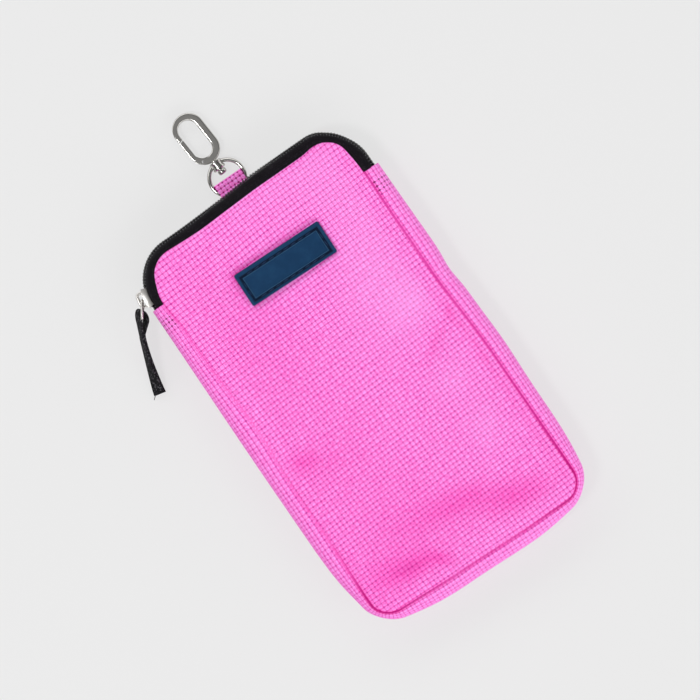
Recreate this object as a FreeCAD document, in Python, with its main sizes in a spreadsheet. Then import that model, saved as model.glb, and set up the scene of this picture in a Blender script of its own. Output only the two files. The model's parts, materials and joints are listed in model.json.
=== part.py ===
"""A zipped phone pouch of woven fabric, with a label, a zip pull and a swivel snap hook on a tab.

Millimetres and degrees. The pouch lies on its back: X runs across it, Y up to the zip, Z out of its front.
The origin is the middle of the back panel's outer face. "Out" is the distance outside the seam line.
"""

import FreeCAD
import Part
import Sketcher

import math
import operator
import os

# Every driving dimension, by the alias that it has in the sheet.
SIZES = {
    # Panels and gusset
    "seam_width": 100.0,
    "seam_height": 178.4,
    "top_corner": 13.5,
    "bottom_corner": 9.5,
    "pouch_depth": 19.5,
    "fabric_thick": 0.8,
    "bulge": 6.5,
    "gusset_round": 6.0,
    "gusset_sink": 0.2,
    "binding_thick": 2.0,
    "binding_deep": 7.0,
    # Zip, closed, on the middle line of the top
    "zip_drop_left": 16.7,
    "zip_drop_right": 18.2,
    "tape_thick": 0.6,
    "tape_round": 4.0,
    "tape_sink": 0.3,
    "tape_tail": 8.0,
    "coil_below_gusset": 0.85,
    "coil_high": 1.6,
    "coil_wide": 2.6,
    "coil_gap": 1.0,
    "coil_tuck": 2.0,
    # Slider and its bridge
    "slider_place": 170.5,
    "slider_long": 8.6,
    "slider_plate": 0.9,
    "slider_flange": 0.8,
    "slider_clear": 0.3,
    "post_long": 3.0,
    "post_clear": 0.2,
    "bridge_long": 6.4,
    "bridge_wide": 3.0,
    "bridge_thick": 0.8,
    # Wire puller and webbing strap
    "puller_wire_radius": 0.55,
    "puller_long": 8.0,
    "puller_wide": 7.6,
    "puller_bend": 1.3,
    "puller_heading": 236.0,
    "pivot_clear": 0.3,
    "strap_wide": 6.0,
    "strap_thick": 1.2,
    "strap_loop_radius": 3.0,
    "strap_slack": 0.25,
    "strap_join": 6.5,
    "strap_long": 32.0,
    "strap_heading": 248.0,
    "strap_twist": 90.0,
    "strap_rest": 0.2,
    # Label
    "label_wide": 41.5,
    "label_tall": 15.0,
    "label_thick": 1.5,
    "label_x": 0.5,
    "label_drop": 31.6,
    "label_turn": 1.2,
    "label_corner": 0.8,
    "label_rim": 1.5,
    "groove_wide": 1.1,
    "groove_deep": 0.5,
    "stitch_long": 2.0,
    "stitch_wide": 0.6,
    "stitch_high": 0.4,
    "stitch_pitch": 2.9,
    # Tab and swivel ring
    "tab_x": 0.8,
    "tab_wide": 12.6,
    "tab_long": 11.9,
    "tab_split": 1.8,
    "tab_clear": 0.2,
    "ring_radius": 7.55,
    "ring_wire_radius": 0.9,
    "ring_seat": 5.0,
    "ring_height": 2.6,
    "clip_lean": 4.2,
    "boss_radius": 2.3,
    "boss_high": 3.9,
    "boss_proud": 0.05,
    # Snap hook
    "stem_radius": 1.25,
    "stem_clear": 0.06,
    "stem_root": 0.8,
    "head_radius": 1.9,
    "head_high": 2.1,
    "swivel_clear": 0.3,
    "hook_wide": 14.7,
    "hook_tall": 23.0,
    "hook_thick": 3.5,
    "hook_back": 3.5,
    "hook_crown": 3.0,
    "hook_foot": 3.2,
    # Gate, its pin and spring
    "gate_bar": 2.3,
    "gate_thick": 2.1,
    "gate_clear": 0.35,
    "gate_top": 14.0,
    "gate_slant": 0.6,
    "slot_clear": 0.2,
    "pivot_from_middle": 3.8,
    "pivot_above_foot": 2.6,
    "cheek_top": 4.9,
    "eye_radius": 1.2,
    "pin_radius": 0.55,
    "pin_clear": 0.05,
    "spring_wire": 0.3,
    "spring_leg": 4.5,
    "spring_clear": 0.15,
}

SHEET_NAME = "Sizes"
UP = FreeCAD.Vector(0, 0, 1)
DOWN = FreeCAD.Vector(0, 0, -1)
START, END, CENTRE = range(1, 4)
SIGNS = {"+": operator.add, "-": operator.sub, "*": operator.mul, "/": operator.truediv}
STRAP_SECTIONS = 5
DEGREES = 180 / math.pi


class Size:
    """A number and the sheet expression that gives it, so that sums of sizes stay bound to the sheet."""

    def __init__(self, value, text):
        self.value = value
        self.text = text

    def __add__(self, other):
        return combine(self, "+", other)

    def __radd__(self, other):
        return combine(other, "+", self)

    def __sub__(self, other):
        return combine(self, "-", other)

    def __rsub__(self, other):
        return combine(other, "-", self)

    def __mul__(self, other):
        return combine(self, "*", other)

    def __rmul__(self, other):
        return combine(other, "*", self)

    def __truediv__(self, other):
        return combine(self, "/", other)

    def __neg__(self):
        return combine(0, "-", self)


def as_size(number):
    return number if isinstance(number, Size) else Size(float(number), repr(float(number)))


def combine(left, sign, right):
    left = as_size(left)
    right = as_size(right)
    return Size(SIGNS[sign](left.value, right.value), f"({left.text} {sign} {right.text})")


def cosine(angle):
    return Size(math.cos(math.radians(angle.value)), f"cos({angle.text} * 1 deg)")


def sine(angle):
    return Size(math.sin(math.radians(angle.value)), f"sin({angle.text} * 1 deg)")


def root(number):
    return Size(math.sqrt(number.value), f"sqrt({number.text})")


def bind(thing, prop, size):
    thing.setExpression(prop, as_size(size).text)


# Document, sheet and the sizes that several pieces share

doc = FreeCAD.newDocument("phone_pouch")


def write_sheet():
    """Fills the sheet and returns its sizes by alias."""
    sheet = doc.addObject("Spreadsheet::Sheet", SHEET_NAME)
    for row, (alias, value) in enumerate(SIZES.items(), start=1):
        sheet.set(f"A{row}", alias.replace("_", " "))
        sheet.set(f"B{row}", str(value))
        sheet.setAlias(f"B{row}", alias)
    doc.recompute()
    return {alias: Size(float(sheet.get(alias)), f"{SHEET_NAME}.{alias}") for alias in SIZES}


s = write_sheet()

HALF_WIDTH = s["seam_width"] / 2
HALF_HEIGHT = s["seam_height"] / 2
MID_DEPTH = s["pouch_depth"] / 2
FRONT_INSIDE = s["pouch_depth"] - s["fabric_thick"]
ZIP_END_LEFT = HALF_HEIGHT - s["zip_drop_left"]
ZIP_END_RIGHT = HALF_HEIGHT - s["zip_drop_right"]

# How far outside the seam line the zip's layers lie
TAPE_OUT = s["bulge"] - s["coil_below_gusset"] - s["coil_high"]
TAPE_IN = TAPE_OUT - s["tape_thick"]
COIL_OUT = TAPE_OUT + s["coil_high"]

# The zip's left corner, which the slider goes round, with radii from its centre
CORNER_X = s["top_corner"] - HALF_WIDTH
CORNER_Y = HALF_HEIGHT - s["top_corner"]
PLATE_INSIDE = s["top_corner"] + COIL_OUT + s["slider_clear"]
PLATE_OUTSIDE = PLATE_INSIDE + s["slider_plate"]
PIVOT_RADIUS = PLATE_OUTSIDE + s["pivot_clear"] + s["puller_wire_radius"]
PIVOT_X = CORNER_X + PIVOT_RADIUS * cosine(s["slider_place"])
PIVOT_Y = CORNER_Y + PIVOT_RADIUS * sine(s["slider_place"])
STRAP_BAR_X = PIVOT_X + s["puller_long"] * cosine(s["puller_heading"])
STRAP_BAR_Y = PIVOT_Y + s["puller_long"] * sine(s["puller_heading"])

# Heights of the tab's two layers, which pass under and over the ring's wire
TAB_HOLE_LOW = s["ring_height"] - s["ring_wire_radius"] - s["tab_clear"]
TAB_HOLE_HIGH = s["ring_height"] + s["ring_wire_radius"] + s["tab_clear"]
TAB_LOW = TAB_HOLE_LOW - s["fabric_thick"]
TAB_HIGH = TAB_HOLE_HIGH + s["fabric_thick"]
BACK_TAPE_LOW = TAB_LOW + 2 * s["fabric_thick"] + s["tab_clear"]

# The clip's own frame: the ring's centre, with the stem along its Y
RING_Y = HALF_HEIGHT + s["ring_seat"] + s["ring_radius"]
BOSS_TOP = s["ring_radius"] + s["ring_wire_radius"] + s["boss_proud"]
BOSS_FOOT = BOSS_TOP - s["boss_high"]
HOOK_FOOT = BOSS_TOP + s["swivel_clear"]
HOOK_TOP = HOOK_FOOT + s["hook_tall"]
HOOK_END_RADIUS = s["hook_wide"] / 2
EYE_LEFT = s["gate_bar"] - HOOK_END_RADIUS
EYE_RIGHT = HOOK_END_RADIUS - s["hook_back"]
EYE_END_RADIUS = (EYE_RIGHT - EYE_LEFT) / 2
EYE_MIDDLE = (EYE_RIGHT + EYE_LEFT) / 2
GATE_PIVOT_X = -s["pivot_from_middle"]
GATE_PIVOT_Y = HOOK_FOOT + s["pivot_above_foot"]
GATE_TIP = HOOK_FOOT + s["gate_top"]
PIN_HOLE_RADIUS = s["pin_radius"] + s["pin_clear"]
SPRING_INSIDE = PIN_HOLE_RADIUS + s["spring_clear"]
SPRING_OUTSIDE = SPRING_INSIDE + s["spring_wire"]


# Helpers for bodies, sketches and features


def new_body(name):
    body = doc.addObject("PartDesign::Body", name)
    body.Label = name
    return body


def place_body(body, x, y, z, turn, axis=UP):
    """Stands a body at a point, turned about a vertical axis."""
    spot = FreeCAD.Vector(as_size(x).value, as_size(y).value, as_size(z).value)
    body.Placement = FreeCAD.Placement(spot, FreeCAD.Rotation(axis, turn.value))
    bind(body, "Placement.Base.x", x)
    bind(body, "Placement.Base.y", y)
    bind(body, "Placement.Base.z", z)
    bind(body, "Placement.Rotation.Angle", turn)


def place_on_clip(body):
    place_body(body, s["tab_x"], RING_Y, s["ring_height"], s["clip_lean"])


def new_sketch(body, plane, name, offset=0, sideways=0, turn=0):
    """A sketch on one of the body's own planes, moved along the plane's normal and its second axis."""
    sketch = body.newObject("Sketcher::SketchObject", f"{body.Name}_{name}")
    support = next(part for part in body.Origin.OriginFeatures if part.Role == plane)
    sketch.AttachmentSupport = [(support, "")]
    sketch.MapMode = "FlatFace"
    spot = FreeCAD.Vector(0, as_size(sideways).value, as_size(offset).value)
    sketch.AttachmentOffset = FreeCAD.Placement(spot, FreeCAD.Rotation(UP, as_size(turn).value))
    bind(sketch, "AttachmentOffset.Base.y", sideways)
    bind(sketch, "AttachmentOffset.Base.z", offset)
    bind(sketch, "AttachmentOffset.Rotation.Angle", turn)
    return sketch


def spot_of(point):
    return FreeCAD.Vector(as_size(point[0]).value, as_size(point[1]).value, 0)


def hold(sketch, kind, geometry, position, size):
    """Binds one coordinate of a sketch point to its size."""
    size = as_size(size)
    row = sketch.addConstraint(Sketcher.Constraint(kind, geometry, position, size.value))
    sketch.setExpression(f"Constraints[{row}]", size.text)


def add_edge(sketch, here, there):
    """Adds the line or arc between two outline points, and returns it with its first and last position."""
    first = spot_of(here)
    last = spot_of(there)
    if len(there) == 2:
        return sketch.addGeometry(Part.LineSegment(first, last)), START, END
    centre = spot_of(there[2])
    angles = [math.atan2(end.y - centre.y, end.x - centre.x) for end in (first, last)]
    leftward = (first - centre).cross(last - centre).z > 0
    circle = Part.Circle(centre, UP, first.distanceToPoint(centre))
    arc = Part.ArcOfCircle(circle, *(angles if leftward else reversed(angles)))
    return sketch.addGeometry(arc), START if leftward else END, END if leftward else START


def outline(sketch, points, closed=True):
    """Draws lines and arcs from point to point.

    A point is (x, y), or (x, y, centre) where an arc of under half a turn ends there.
    """
    following = points[1:] + points[:1] if closed else points[1:]
    edges = [add_edge(sketch, here, there) for here, there in zip(points, following)]
    neighbours = zip(edges, edges[1:] + edges[:1] if closed else edges[1:])
    for (one, _, one_end), (other, other_start, _) in neighbours:
        sketch.addConstraint(Sketcher.Constraint("Coincident", one, one_end, other, other_start))
    for (geometry, start, end), here, there in zip(edges, points, following):
        hold(sketch, "DistanceX", geometry, start, here[0])
        hold(sketch, "DistanceY", geometry, start, here[1])
        if len(there) == 3:
            across = spot_of(there) - spot_of(here)
            level = abs(across.y) > abs(across.x)
            hold(sketch, "DistanceX" if level else "DistanceY", geometry, CENTRE, there[2][0 if level else 1])
    if not closed:
        geometry, _, end = edges[-1]
        hold(sketch, "DistanceX", geometry, end, points[-1][0])
        hold(sketch, "DistanceY", geometry, end, points[-1][1])


def round_hole(sketch, x, y, radius):
    circle = Part.Circle(spot_of((x, y)), UP, radius.value)
    geometry = sketch.addGeometry(circle)
    hold(sketch, "DistanceX", geometry, CENTRE, x)
    hold(sketch, "DistanceY", geometry, CENTRE, y)
    row = sketch.addConstraint(Sketcher.Constraint("Radius", geometry, radius.value))
    sketch.setExpression(f"Constraints[{row}]", radius.text)


def box_points(low_x, low_y, high_x, high_y):
    return [(low_x, low_y), (high_x, low_y), (high_x, high_y), (low_x, high_y)]


def add_feature(body, kind, name, profile):
    feature = body.newObject(f"PartDesign::{kind}", f"{body.Name}_{name}")
    feature.Profile = profile
    return feature


def pad(body, name, profile, length, centred=False):
    feature = add_feature(body, "Pad", name, profile)
    feature.SideType = "Symmetric" if centred else "One side"
    bind(feature, "Length", length)
    return feature


def pocket(body, name, profile, depth, centred=False, forward=False):
    """Cuts a profile out of the body, against the sketch's normal unless forward; stops if nothing is cut."""
    doc.recompute()
    before = body.Shape.Volume
    feature = add_feature(body, "Pocket", name, profile)
    feature.SideType = "Symmetric" if centred else "One side"
    feature.Reversed = forward
    bind(feature, "Length", depth)
    doc.recompute()
    if not body.Shape.Volume < before:
        raise ValueError(f"{feature.Name} cuts nothing")
    return feature


def turned(body, name, profile, angle=None):
    """Turns a profile about its own vertical axis: all round, or evenly to both sides by an angle."""
    feature = add_feature(body, "Revolution", name, profile)
    feature.ReferenceAxis = (profile, ["V_Axis"])
    feature.Midplane = angle is not None
    bind(feature, "Angle", 360 if angle is None else angle)
    return feature


def piped(body, name, profile, path):
    feature = add_feature(body, "AdditivePipe", name, profile)
    feature.Spine = (path, [])
    return feature


# Outlines that several pieces follow


def seam_outline(inset):
    """The panels' rounded outline, moved inwards."""
    x = HALF_WIDTH - inset
    y = HALF_HEIGHT - inset
    top = s["top_corner"] - inset
    bottom = s["bottom_corner"] - inset
    return [
        (-x, bottom - y),
        (bottom - x, -y, (bottom - x, bottom - y)),
        (x - bottom, -y),
        (x, bottom - y, (x - bottom, bottom - y)),
        (x, y - top),
        (x - top, y, (x - top, y - top)),
        (top - x, y),
        (-x, y - top, (top - x, y - top)),
    ]


def zip_path(below):
    """The seam line over the top of the pouch, from a little below one zip end to as far below the other."""
    top = s["top_corner"]
    return [
        (-HALF_WIDTH, ZIP_END_LEFT - below),
        (-HALF_WIDTH, CORNER_Y),
        (CORNER_X, HALF_HEIGHT, (CORNER_X, CORNER_Y)),
        (HALF_WIDTH - top, HALF_HEIGHT),
        (HALF_WIDTH, CORNER_Y, (HALF_WIDTH - top, CORNER_Y)),
        (HALF_WIDTH, ZIP_END_RIGHT - below),
    ]


def gusset_path():
    """The seam line down one side of the pouch, along its bottom and up the other side."""
    corner = s["bottom_corner"]
    return [
        (-HALF_WIDTH, ZIP_END_LEFT),
        (-HALF_WIDTH, corner - HALF_HEIGHT),
        (corner - HALF_WIDTH, -HALF_HEIGHT, (corner - HALF_WIDTH, corner - HALF_HEIGHT)),
        (HALF_WIDTH - corner, -HALF_HEIGHT),
        (HALF_WIDTH, corner - HALF_HEIGHT, (HALF_WIDTH - corner, corner - HALF_HEIGHT)),
        (HALF_WIDTH, ZIP_END_RIGHT),
    ]


def left_of_seam(out):
    """The X of a point that lies outside the left seam."""
    return -HALF_WIDTH - out


def banded(name, profile_points, path_points):
    """A strip of one cross-section, drawn at the left side, that follows the seam line."""
    body = new_body(name)
    profile = new_sketch(body, "XZ_Plane", "section", offset=-path_points[0][1])
    outline(profile, profile_points)
    path = new_sketch(body, "XY_Plane", "path")
    outline(path, path_points, closed=False)
    piped(body, "strip", profile, path)
    return body


# Fabric pieces


def flat_panel(name, height):
    body = new_body(name)
    sketch = new_sketch(body, "XY_Plane", "outline", offset=height)
    outline(sketch, seam_outline(as_size(0)))
    pad(body, "sheet", sketch, s["fabric_thick"])
    return body


def seam_binding(name, height):
    """The bound seam allowances, a band that stands inside the seam all round."""
    body = new_body(name)
    sketch = new_sketch(body, "XY_Plane", "outline", offset=height)
    outline(sketch, seam_outline(as_size(0)))
    outline(sketch, seam_outline(s["binding_thick"]))
    pad(body, "band", sketch, s["binding_deep"])
    return body


def gusset_strip():
    """The strip round the sides and bottom, which bulges out between the two seams."""
    low = s["gusset_sink"]
    high = s["pouch_depth"] - low
    radius = s["gusset_round"]
    thick = s["fabric_thick"]
    outside = left_of_seam(s["bulge"])
    inside = left_of_seam(s["bulge"] - thick)
    bend = left_of_seam(s["bulge"] - radius)
    lower = (bend, low + radius)
    upper = (bend, high - radius)
    points = [
        (-HALF_WIDTH, low),
        (bend, low),
        (outside, low + radius, lower),
        (outside, high - radius),
        (bend, high, upper),
        (-HALF_WIDTH, high),
        (-HALF_WIDTH, high - thick),
        (bend, high - thick),
        (inside, high - radius, upper),
        (inside, low + radius),
        (bend, low + thick, lower),
        (-HALF_WIDTH, low + thick),
    ]
    return banded("gusset_strip", points, gusset_path())


def zip_tape(name, seam, toward_middle):
    """One half of the zip's tape: a rounded flange from its seam, a flat under the coil, and two tails."""
    radius = s["tape_round"] * toward_middle
    thick = s["tape_thick"] * toward_middle
    edge = MID_DEPTH - s["coil_gap"] / 2 * toward_middle
    outside = left_of_seam(TAPE_OUT)
    inside = left_of_seam(TAPE_IN)
    bend = left_of_seam(TAPE_OUT - s["tape_round"])
    centre = (bend, seam + radius)
    points = [
        (-HALF_WIDTH, seam),
        (bend, seam),
        (outside, seam + radius, centre),
        (outside, edge),
        (inside, edge),
        (inside, seam + radius),
        (bend, seam + thick, centre),
        (-HALF_WIDTH, seam + thick),
    ]
    body = banded(name, points, zip_path(as_size(0)))
    ends = (("left", ZIP_END_LEFT, outside, inside), ("right", ZIP_END_RIGHT, -inside, -outside))
    for side, end, low_x, high_x in ends:
        tail = new_sketch(body, "XZ_Plane", f"{side}_tail_section", offset=-end)
        low_z = edge if toward_middle < 0 else seam + radius
        high_z = seam + radius if toward_middle < 0 else edge
        outline(tail, box_points(low_x, low_z, high_x, high_z))
        pad(body, f"{side}_tail", tail, s["tape_tail"])
    return body


def zip_coil(name, side):
    """One half of the coil, as the solid that its turns fill."""
    edge = MID_DEPTH + s["coil_gap"] / 2 * side
    far = edge + s["coil_wide"] * side
    low, high = (edge, far) if side > 0 else (far, edge)
    points = box_points(left_of_seam(COIL_OUT), low, left_of_seam(TAPE_OUT), high)
    return banded(name, points, zip_path(s["coil_tuck"]))


def hanging_tab():
    """A folded strip, sewn into the back seam, whose two layers hold the ring's wire between them."""
    body = new_body("hanging_tab")
    sketch = new_sketch(body, "YZ_Plane", "fold", offset=s["tab_x"])
    thick = s["fabric_thick"]
    seam = HALF_HEIGHT
    split = seam + s["tab_split"]
    rise = seam + s["ring_seat"] - s["ring_wire_radius"]
    fold = seam + s["tab_long"] - (TAB_HIGH - TAB_LOW) / 2
    middle = (fold, s["ring_height"])
    outer_radius = (TAB_HIGH - TAB_LOW) / 2
    inner_radius = outer_radius - thick
    outline(
        sketch,
        [
            (seam, TAB_LOW),
            (fold, TAB_LOW),
            (fold + outer_radius, s["ring_height"], middle),
            (fold, TAB_HIGH, middle),
            (rise, TAB_HIGH),
            (split, TAB_LOW + 2 * thick),
            (seam, TAB_LOW + 2 * thick),
        ],
    )
    outline(
        sketch,
        [
            (split, TAB_HOLE_LOW),
            (fold, TAB_HOLE_LOW),
            (fold + inner_radius, s["ring_height"], middle),
            (fold, TAB_HOLE_HIGH, middle),
            (rise, TAB_HOLE_HIGH),
        ],
    )
    pad(body, "strip", sketch, s["tab_wide"], centred=True)
    return body


# Label


def label_rectangle(inset):
    """The label's outline in its own frame, moved inwards, with rounded corners."""
    x = s["label_wide"] / 2 - inset
    y = s["label_tall"] / 2 - inset
    corner = s["label_corner"]
    return [
        (-x, corner - y),
        (corner - x, -y, (corner - x, corner - y)),
        (x - corner, -y),
        (x, corner - y, (x - corner, corner - y)),
        (x, y - corner),
        (x - corner, y, (x - corner, y - corner)),
        (corner - x, y),
        (-x, y - corner, (corner - x, y - corner)),
    ]


def place_on_front(body):
    y = HALF_HEIGHT - s["label_drop"]
    place_body(body, s["label_x"], y, s["pouch_depth"], s["label_turn"], axis=DOWN)


def label_patch():
    """A moulded patch with a sewing groove inside its rim."""
    body = new_body("label_patch")
    place_on_front(body)
    sketch = new_sketch(body, "XY_Plane", "outline")
    outline(sketch, label_rectangle(as_size(0)))
    pad(body, "plate", sketch, s["label_thick"])
    groove = new_sketch(body, "XY_Plane", "groove_outline", offset=s["label_thick"])
    outline(groove, label_rectangle(s["label_rim"]))
    outline(groove, label_rectangle(s["label_rim"] + s["groove_wide"]))
    pocket(body, "groove", groove, s["groove_deep"])
    return body


def stitch_rows(body, name, half_length, half_apart, upright):
    """Two facing rows of stitches in the label's groove, repeated from the first stitch of each row."""
    pitch = s["stitch_pitch"]
    count = int(2 * half_length.value / pitch.value)
    first = pitch * ((1 - count) / 2)
    sketch = new_sketch(body, "XY_Plane", f"{name}_stitches", offset=s["label_thick"] - s["groove_deep"])
    for row in (-half_apart, half_apart):
        low = (first - s["stitch_long"] / 2, row - s["stitch_wide"] / 2)
        high = (first + s["stitch_long"] / 2, row + s["stitch_wide"] / 2)
        outline(sketch, box_points(*low[::-1], *high[::-1]) if upright else box_points(*low, *high))
    pair = pad(body, f"{name}_pair", sketch, s["stitch_high"])
    rows = body.newObject("PartDesign::LinearPattern", f"{body.Name}_{name}_rows")
    rows.Originals = [pair]
    rows.Direction = (sketch, ["V_Axis" if upright else "H_Axis"])
    rows.Mode = "Spacing"
    rows.Occurrences = count
    bind(rows, "Offset", pitch)
    body.Tip = rows


def label_thread():
    """The stitches that hold the label."""
    body = new_body("label_thread")
    place_on_front(body)
    inset = s["label_rim"] + s["groove_wide"] / 2
    row = s["label_tall"] / 2 - inset
    column = s["label_wide"] / 2 - inset
    stitch_rows(body, "long", column - s["stitch_pitch"] / 2, row, upright=False)
    stitch_rows(body, "short", row - s["stitch_pitch"] / 2, column, upright=True)
    return body


# Zip slider, puller and strap


def slider_body():
    """Two plates joined by a post between the coils, curved to the zip's corner."""
    body = new_body("slider_body")
    place_body(body, CORNER_X, CORNER_Y, MID_DEPTH, s["slider_place"])
    angle = s["slider_long"] / PLATE_OUTSIDE * DEGREES
    post_angle = s["post_long"] / PLATE_OUTSIDE * DEGREES
    coil_half = s["coil_gap"] / 2 + s["coil_wide"]
    inner = coil_half + s["slider_clear"]
    outer = inner + s["slider_flange"]
    lip = s["top_corner"] + TAPE_OUT + s["slider_clear"]
    floor_top = s["top_corner"] + TAPE_IN - s["slider_clear"]
    half_post = s["coil_gap"] / 2 - s["post_clear"]
    top = new_sketch(body, "XZ_Plane", "top_section")
    outline(
        top,
        [
            (PLATE_OUTSIDE, -outer),
            (PLATE_OUTSIDE, outer),
            (lip, outer),
            (lip, inner),
            (PLATE_INSIDE, inner),
            (PLATE_INSIDE, -inner),
            (lip, -inner),
            (lip, -outer),
        ],
    )
    turned(body, "top_plate", top, angle)
    post = new_sketch(body, "XZ_Plane", "post_section")
    outline(post, box_points(floor_top, -half_post, PLATE_INSIDE, half_post))
    turned(body, "post", post, post_angle)
    floor = new_sketch(body, "XZ_Plane", "floor_section")
    outline(floor, box_points(floor_top - s["slider_plate"], -outer, floor_top, outer))
    turned(body, "floor_plate", floor, angle)
    return body


def slider_bridge():
    """The arch on the slider's top plate, over the puller's wire."""
    body = new_body("slider_bridge")
    place_body(body, CORNER_X, CORNER_Y, MID_DEPTH, s["slider_place"])
    thick = s["bridge_thick"]
    under = PIVOT_RADIUS + s["puller_wire_radius"] + s["pivot_clear"]
    top = under + thick
    inner_bend = s["puller_wire_radius"] + s["pivot_clear"]
    outer_bend = inner_bend + thick
    out = s["bridge_long"] / 2
    inn = out - thick
    foot_out = root(PLATE_OUTSIDE * PLATE_OUTSIDE - out * out)
    foot_in = root(PLATE_OUTSIDE * PLATE_OUTSIDE - inn * inn)
    middle = (as_size(0), as_size(0))
    sketch = new_sketch(body, "XY_Plane", "arch")
    outline(
        sketch,
        [
            (foot_out, -out, middle),
            (top - outer_bend, -out),
            (top, outer_bend - out, (top - outer_bend, outer_bend - out)),
            (top, out - outer_bend),
            (top - outer_bend, out, (top - outer_bend, out - outer_bend)),
            (foot_out, out),
            (foot_in, inn, middle),
            (under - inner_bend, inn),
            (under, inn - inner_bend, (under - inner_bend, inn - inner_bend)),
            (under, inner_bend - inn),
            (under - inner_bend, -inn, (under - inner_bend, inner_bend - inn)),
            (foot_in, -inn),
        ],
    )
    pad(body, "arch", sketch, s["bridge_wide"], centred=True)
    return body


def puller_loop():
    """A closed loop of wire, with one bar under the bridge and the other in the strap."""
    body = new_body("puller_loop")
    place_body(body, PIVOT_X, PIVOT_Y, MID_DEPTH, s["puller_heading"])
    long = s["puller_long"]
    half = s["puller_wide"] / 2
    bend = s["puller_bend"]
    wire = new_sketch(body, "XY_Plane", "wire")
    round_hole(wire, 0, 0, s["puller_wire_radius"])
    path = new_sketch(body, "XZ_Plane", "loop")
    outline(
        path,
        [
            (as_size(0), as_size(0)),
            (as_size(0), half - bend),
            (bend, half, (bend, half - bend)),
            (long - bend, half),
            (long, half - bend, (long - bend, half - bend)),
            (long, bend - half),
            (long - bend, -half, (long - bend, bend - half)),
            (bend, -half),
            (as_size(0), bend - half, (bend, bend - half)),
        ],
    )
    piped(body, "loop", wire, path)
    return body


def strap_section(body, number, distance, drop, twist):
    """The doubled webbing's cross-section at one distance from the puller's bar."""
    sketch = new_sketch(
        body, "YZ_Plane", f"section_{number}", offset=distance, sideways=-drop, turn=twist
    )
    thick = s["strap_thick"]
    wide = s["strap_wide"] / 2
    outline(sketch, box_points(-thick, -wide, thick, wide))
    return sketch


def pull_strap():
    """Doubled webbing with a loop round the puller's bar, turning flat as it comes down to the table."""
    body = new_body("pull_strap")
    place_body(body, STRAP_BAR_X, STRAP_BAR_Y, MID_DEPTH, s["strap_heading"])
    thick = s["strap_thick"]
    outer = s["strap_loop_radius"]
    inner = outer - thick
    middle = inner - s["puller_wire_radius"] - s["strap_slack"]
    join = s["strap_join"]
    centre = (middle, as_size(0))
    loop = new_sketch(body, "XY_Plane", "loop")
    outline(
        loop,
        [
            (join, thick),
            (middle, outer),
            (middle - outer, as_size(0), centre),
            (middle, -outer, centre),
            (join, -thick),
        ],
    )
    outline(
        loop,
        [
            (join - thick, as_size(0)),
            (middle, inner),
            (middle - inner, as_size(0), centre),
            (middle, -inner, centre),
        ],
    )
    pad(body, "loop_band", loop, s["strap_wide"], centred=True)
    fall = MID_DEPTH - thick - s["strap_rest"]
    sections = []
    for number in range(STRAP_SECTIONS):
        share = number / (STRAP_SECTIONS - 1)
        distance = join + (s["strap_long"] - join) * share
        sections.append(strap_section(body, number, distance, fall * share, s["strap_twist"] * share))
    webbing = add_feature(body, "AdditiveLoft", "webbing", sections[0])
    webbing.Sections = sections[1:]
    return body


# Swivel ring and snap hook, drawn in the clip's own frame


def swivel_ring():
    """A wire ring with a bored boss for the hook's stem."""
    body = new_body("swivel_ring")
    place_on_clip(body)
    wire = new_sketch(body, "XZ_Plane", "wire")
    round_hole(wire, s["ring_radius"], 0, s["ring_wire_radius"])
    turned(body, "ring", wire)
    boss = new_sketch(body, "XZ_Plane", "boss_circle", offset=-BOSS_TOP)
    round_hole(boss, 0, 0, s["boss_radius"])
    pad(body, "boss", boss, s["boss_high"])
    bore = new_sketch(body, "XZ_Plane", "bore_circle", offset=-BOSS_TOP)
    round_hole(bore, 0, 0, s["stem_radius"] + s["stem_clear"])
    pocket(body, "bore", bore, s["boss_high"], forward=True)
    return body


def long_round(left, right, low, high):
    """An upright outline with straight sides and half-round ends."""
    radius = (right - left) / 2
    middle = (right + left) / 2
    upper = (middle, high - radius)
    lower = (middle, low + radius)
    return [
        (left, low + radius),
        (middle, low, lower),
        (right, low + radius, lower),
        (right, high - radius),
        (middle, high, upper),
        (left, high - radius, upper),
    ]


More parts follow.
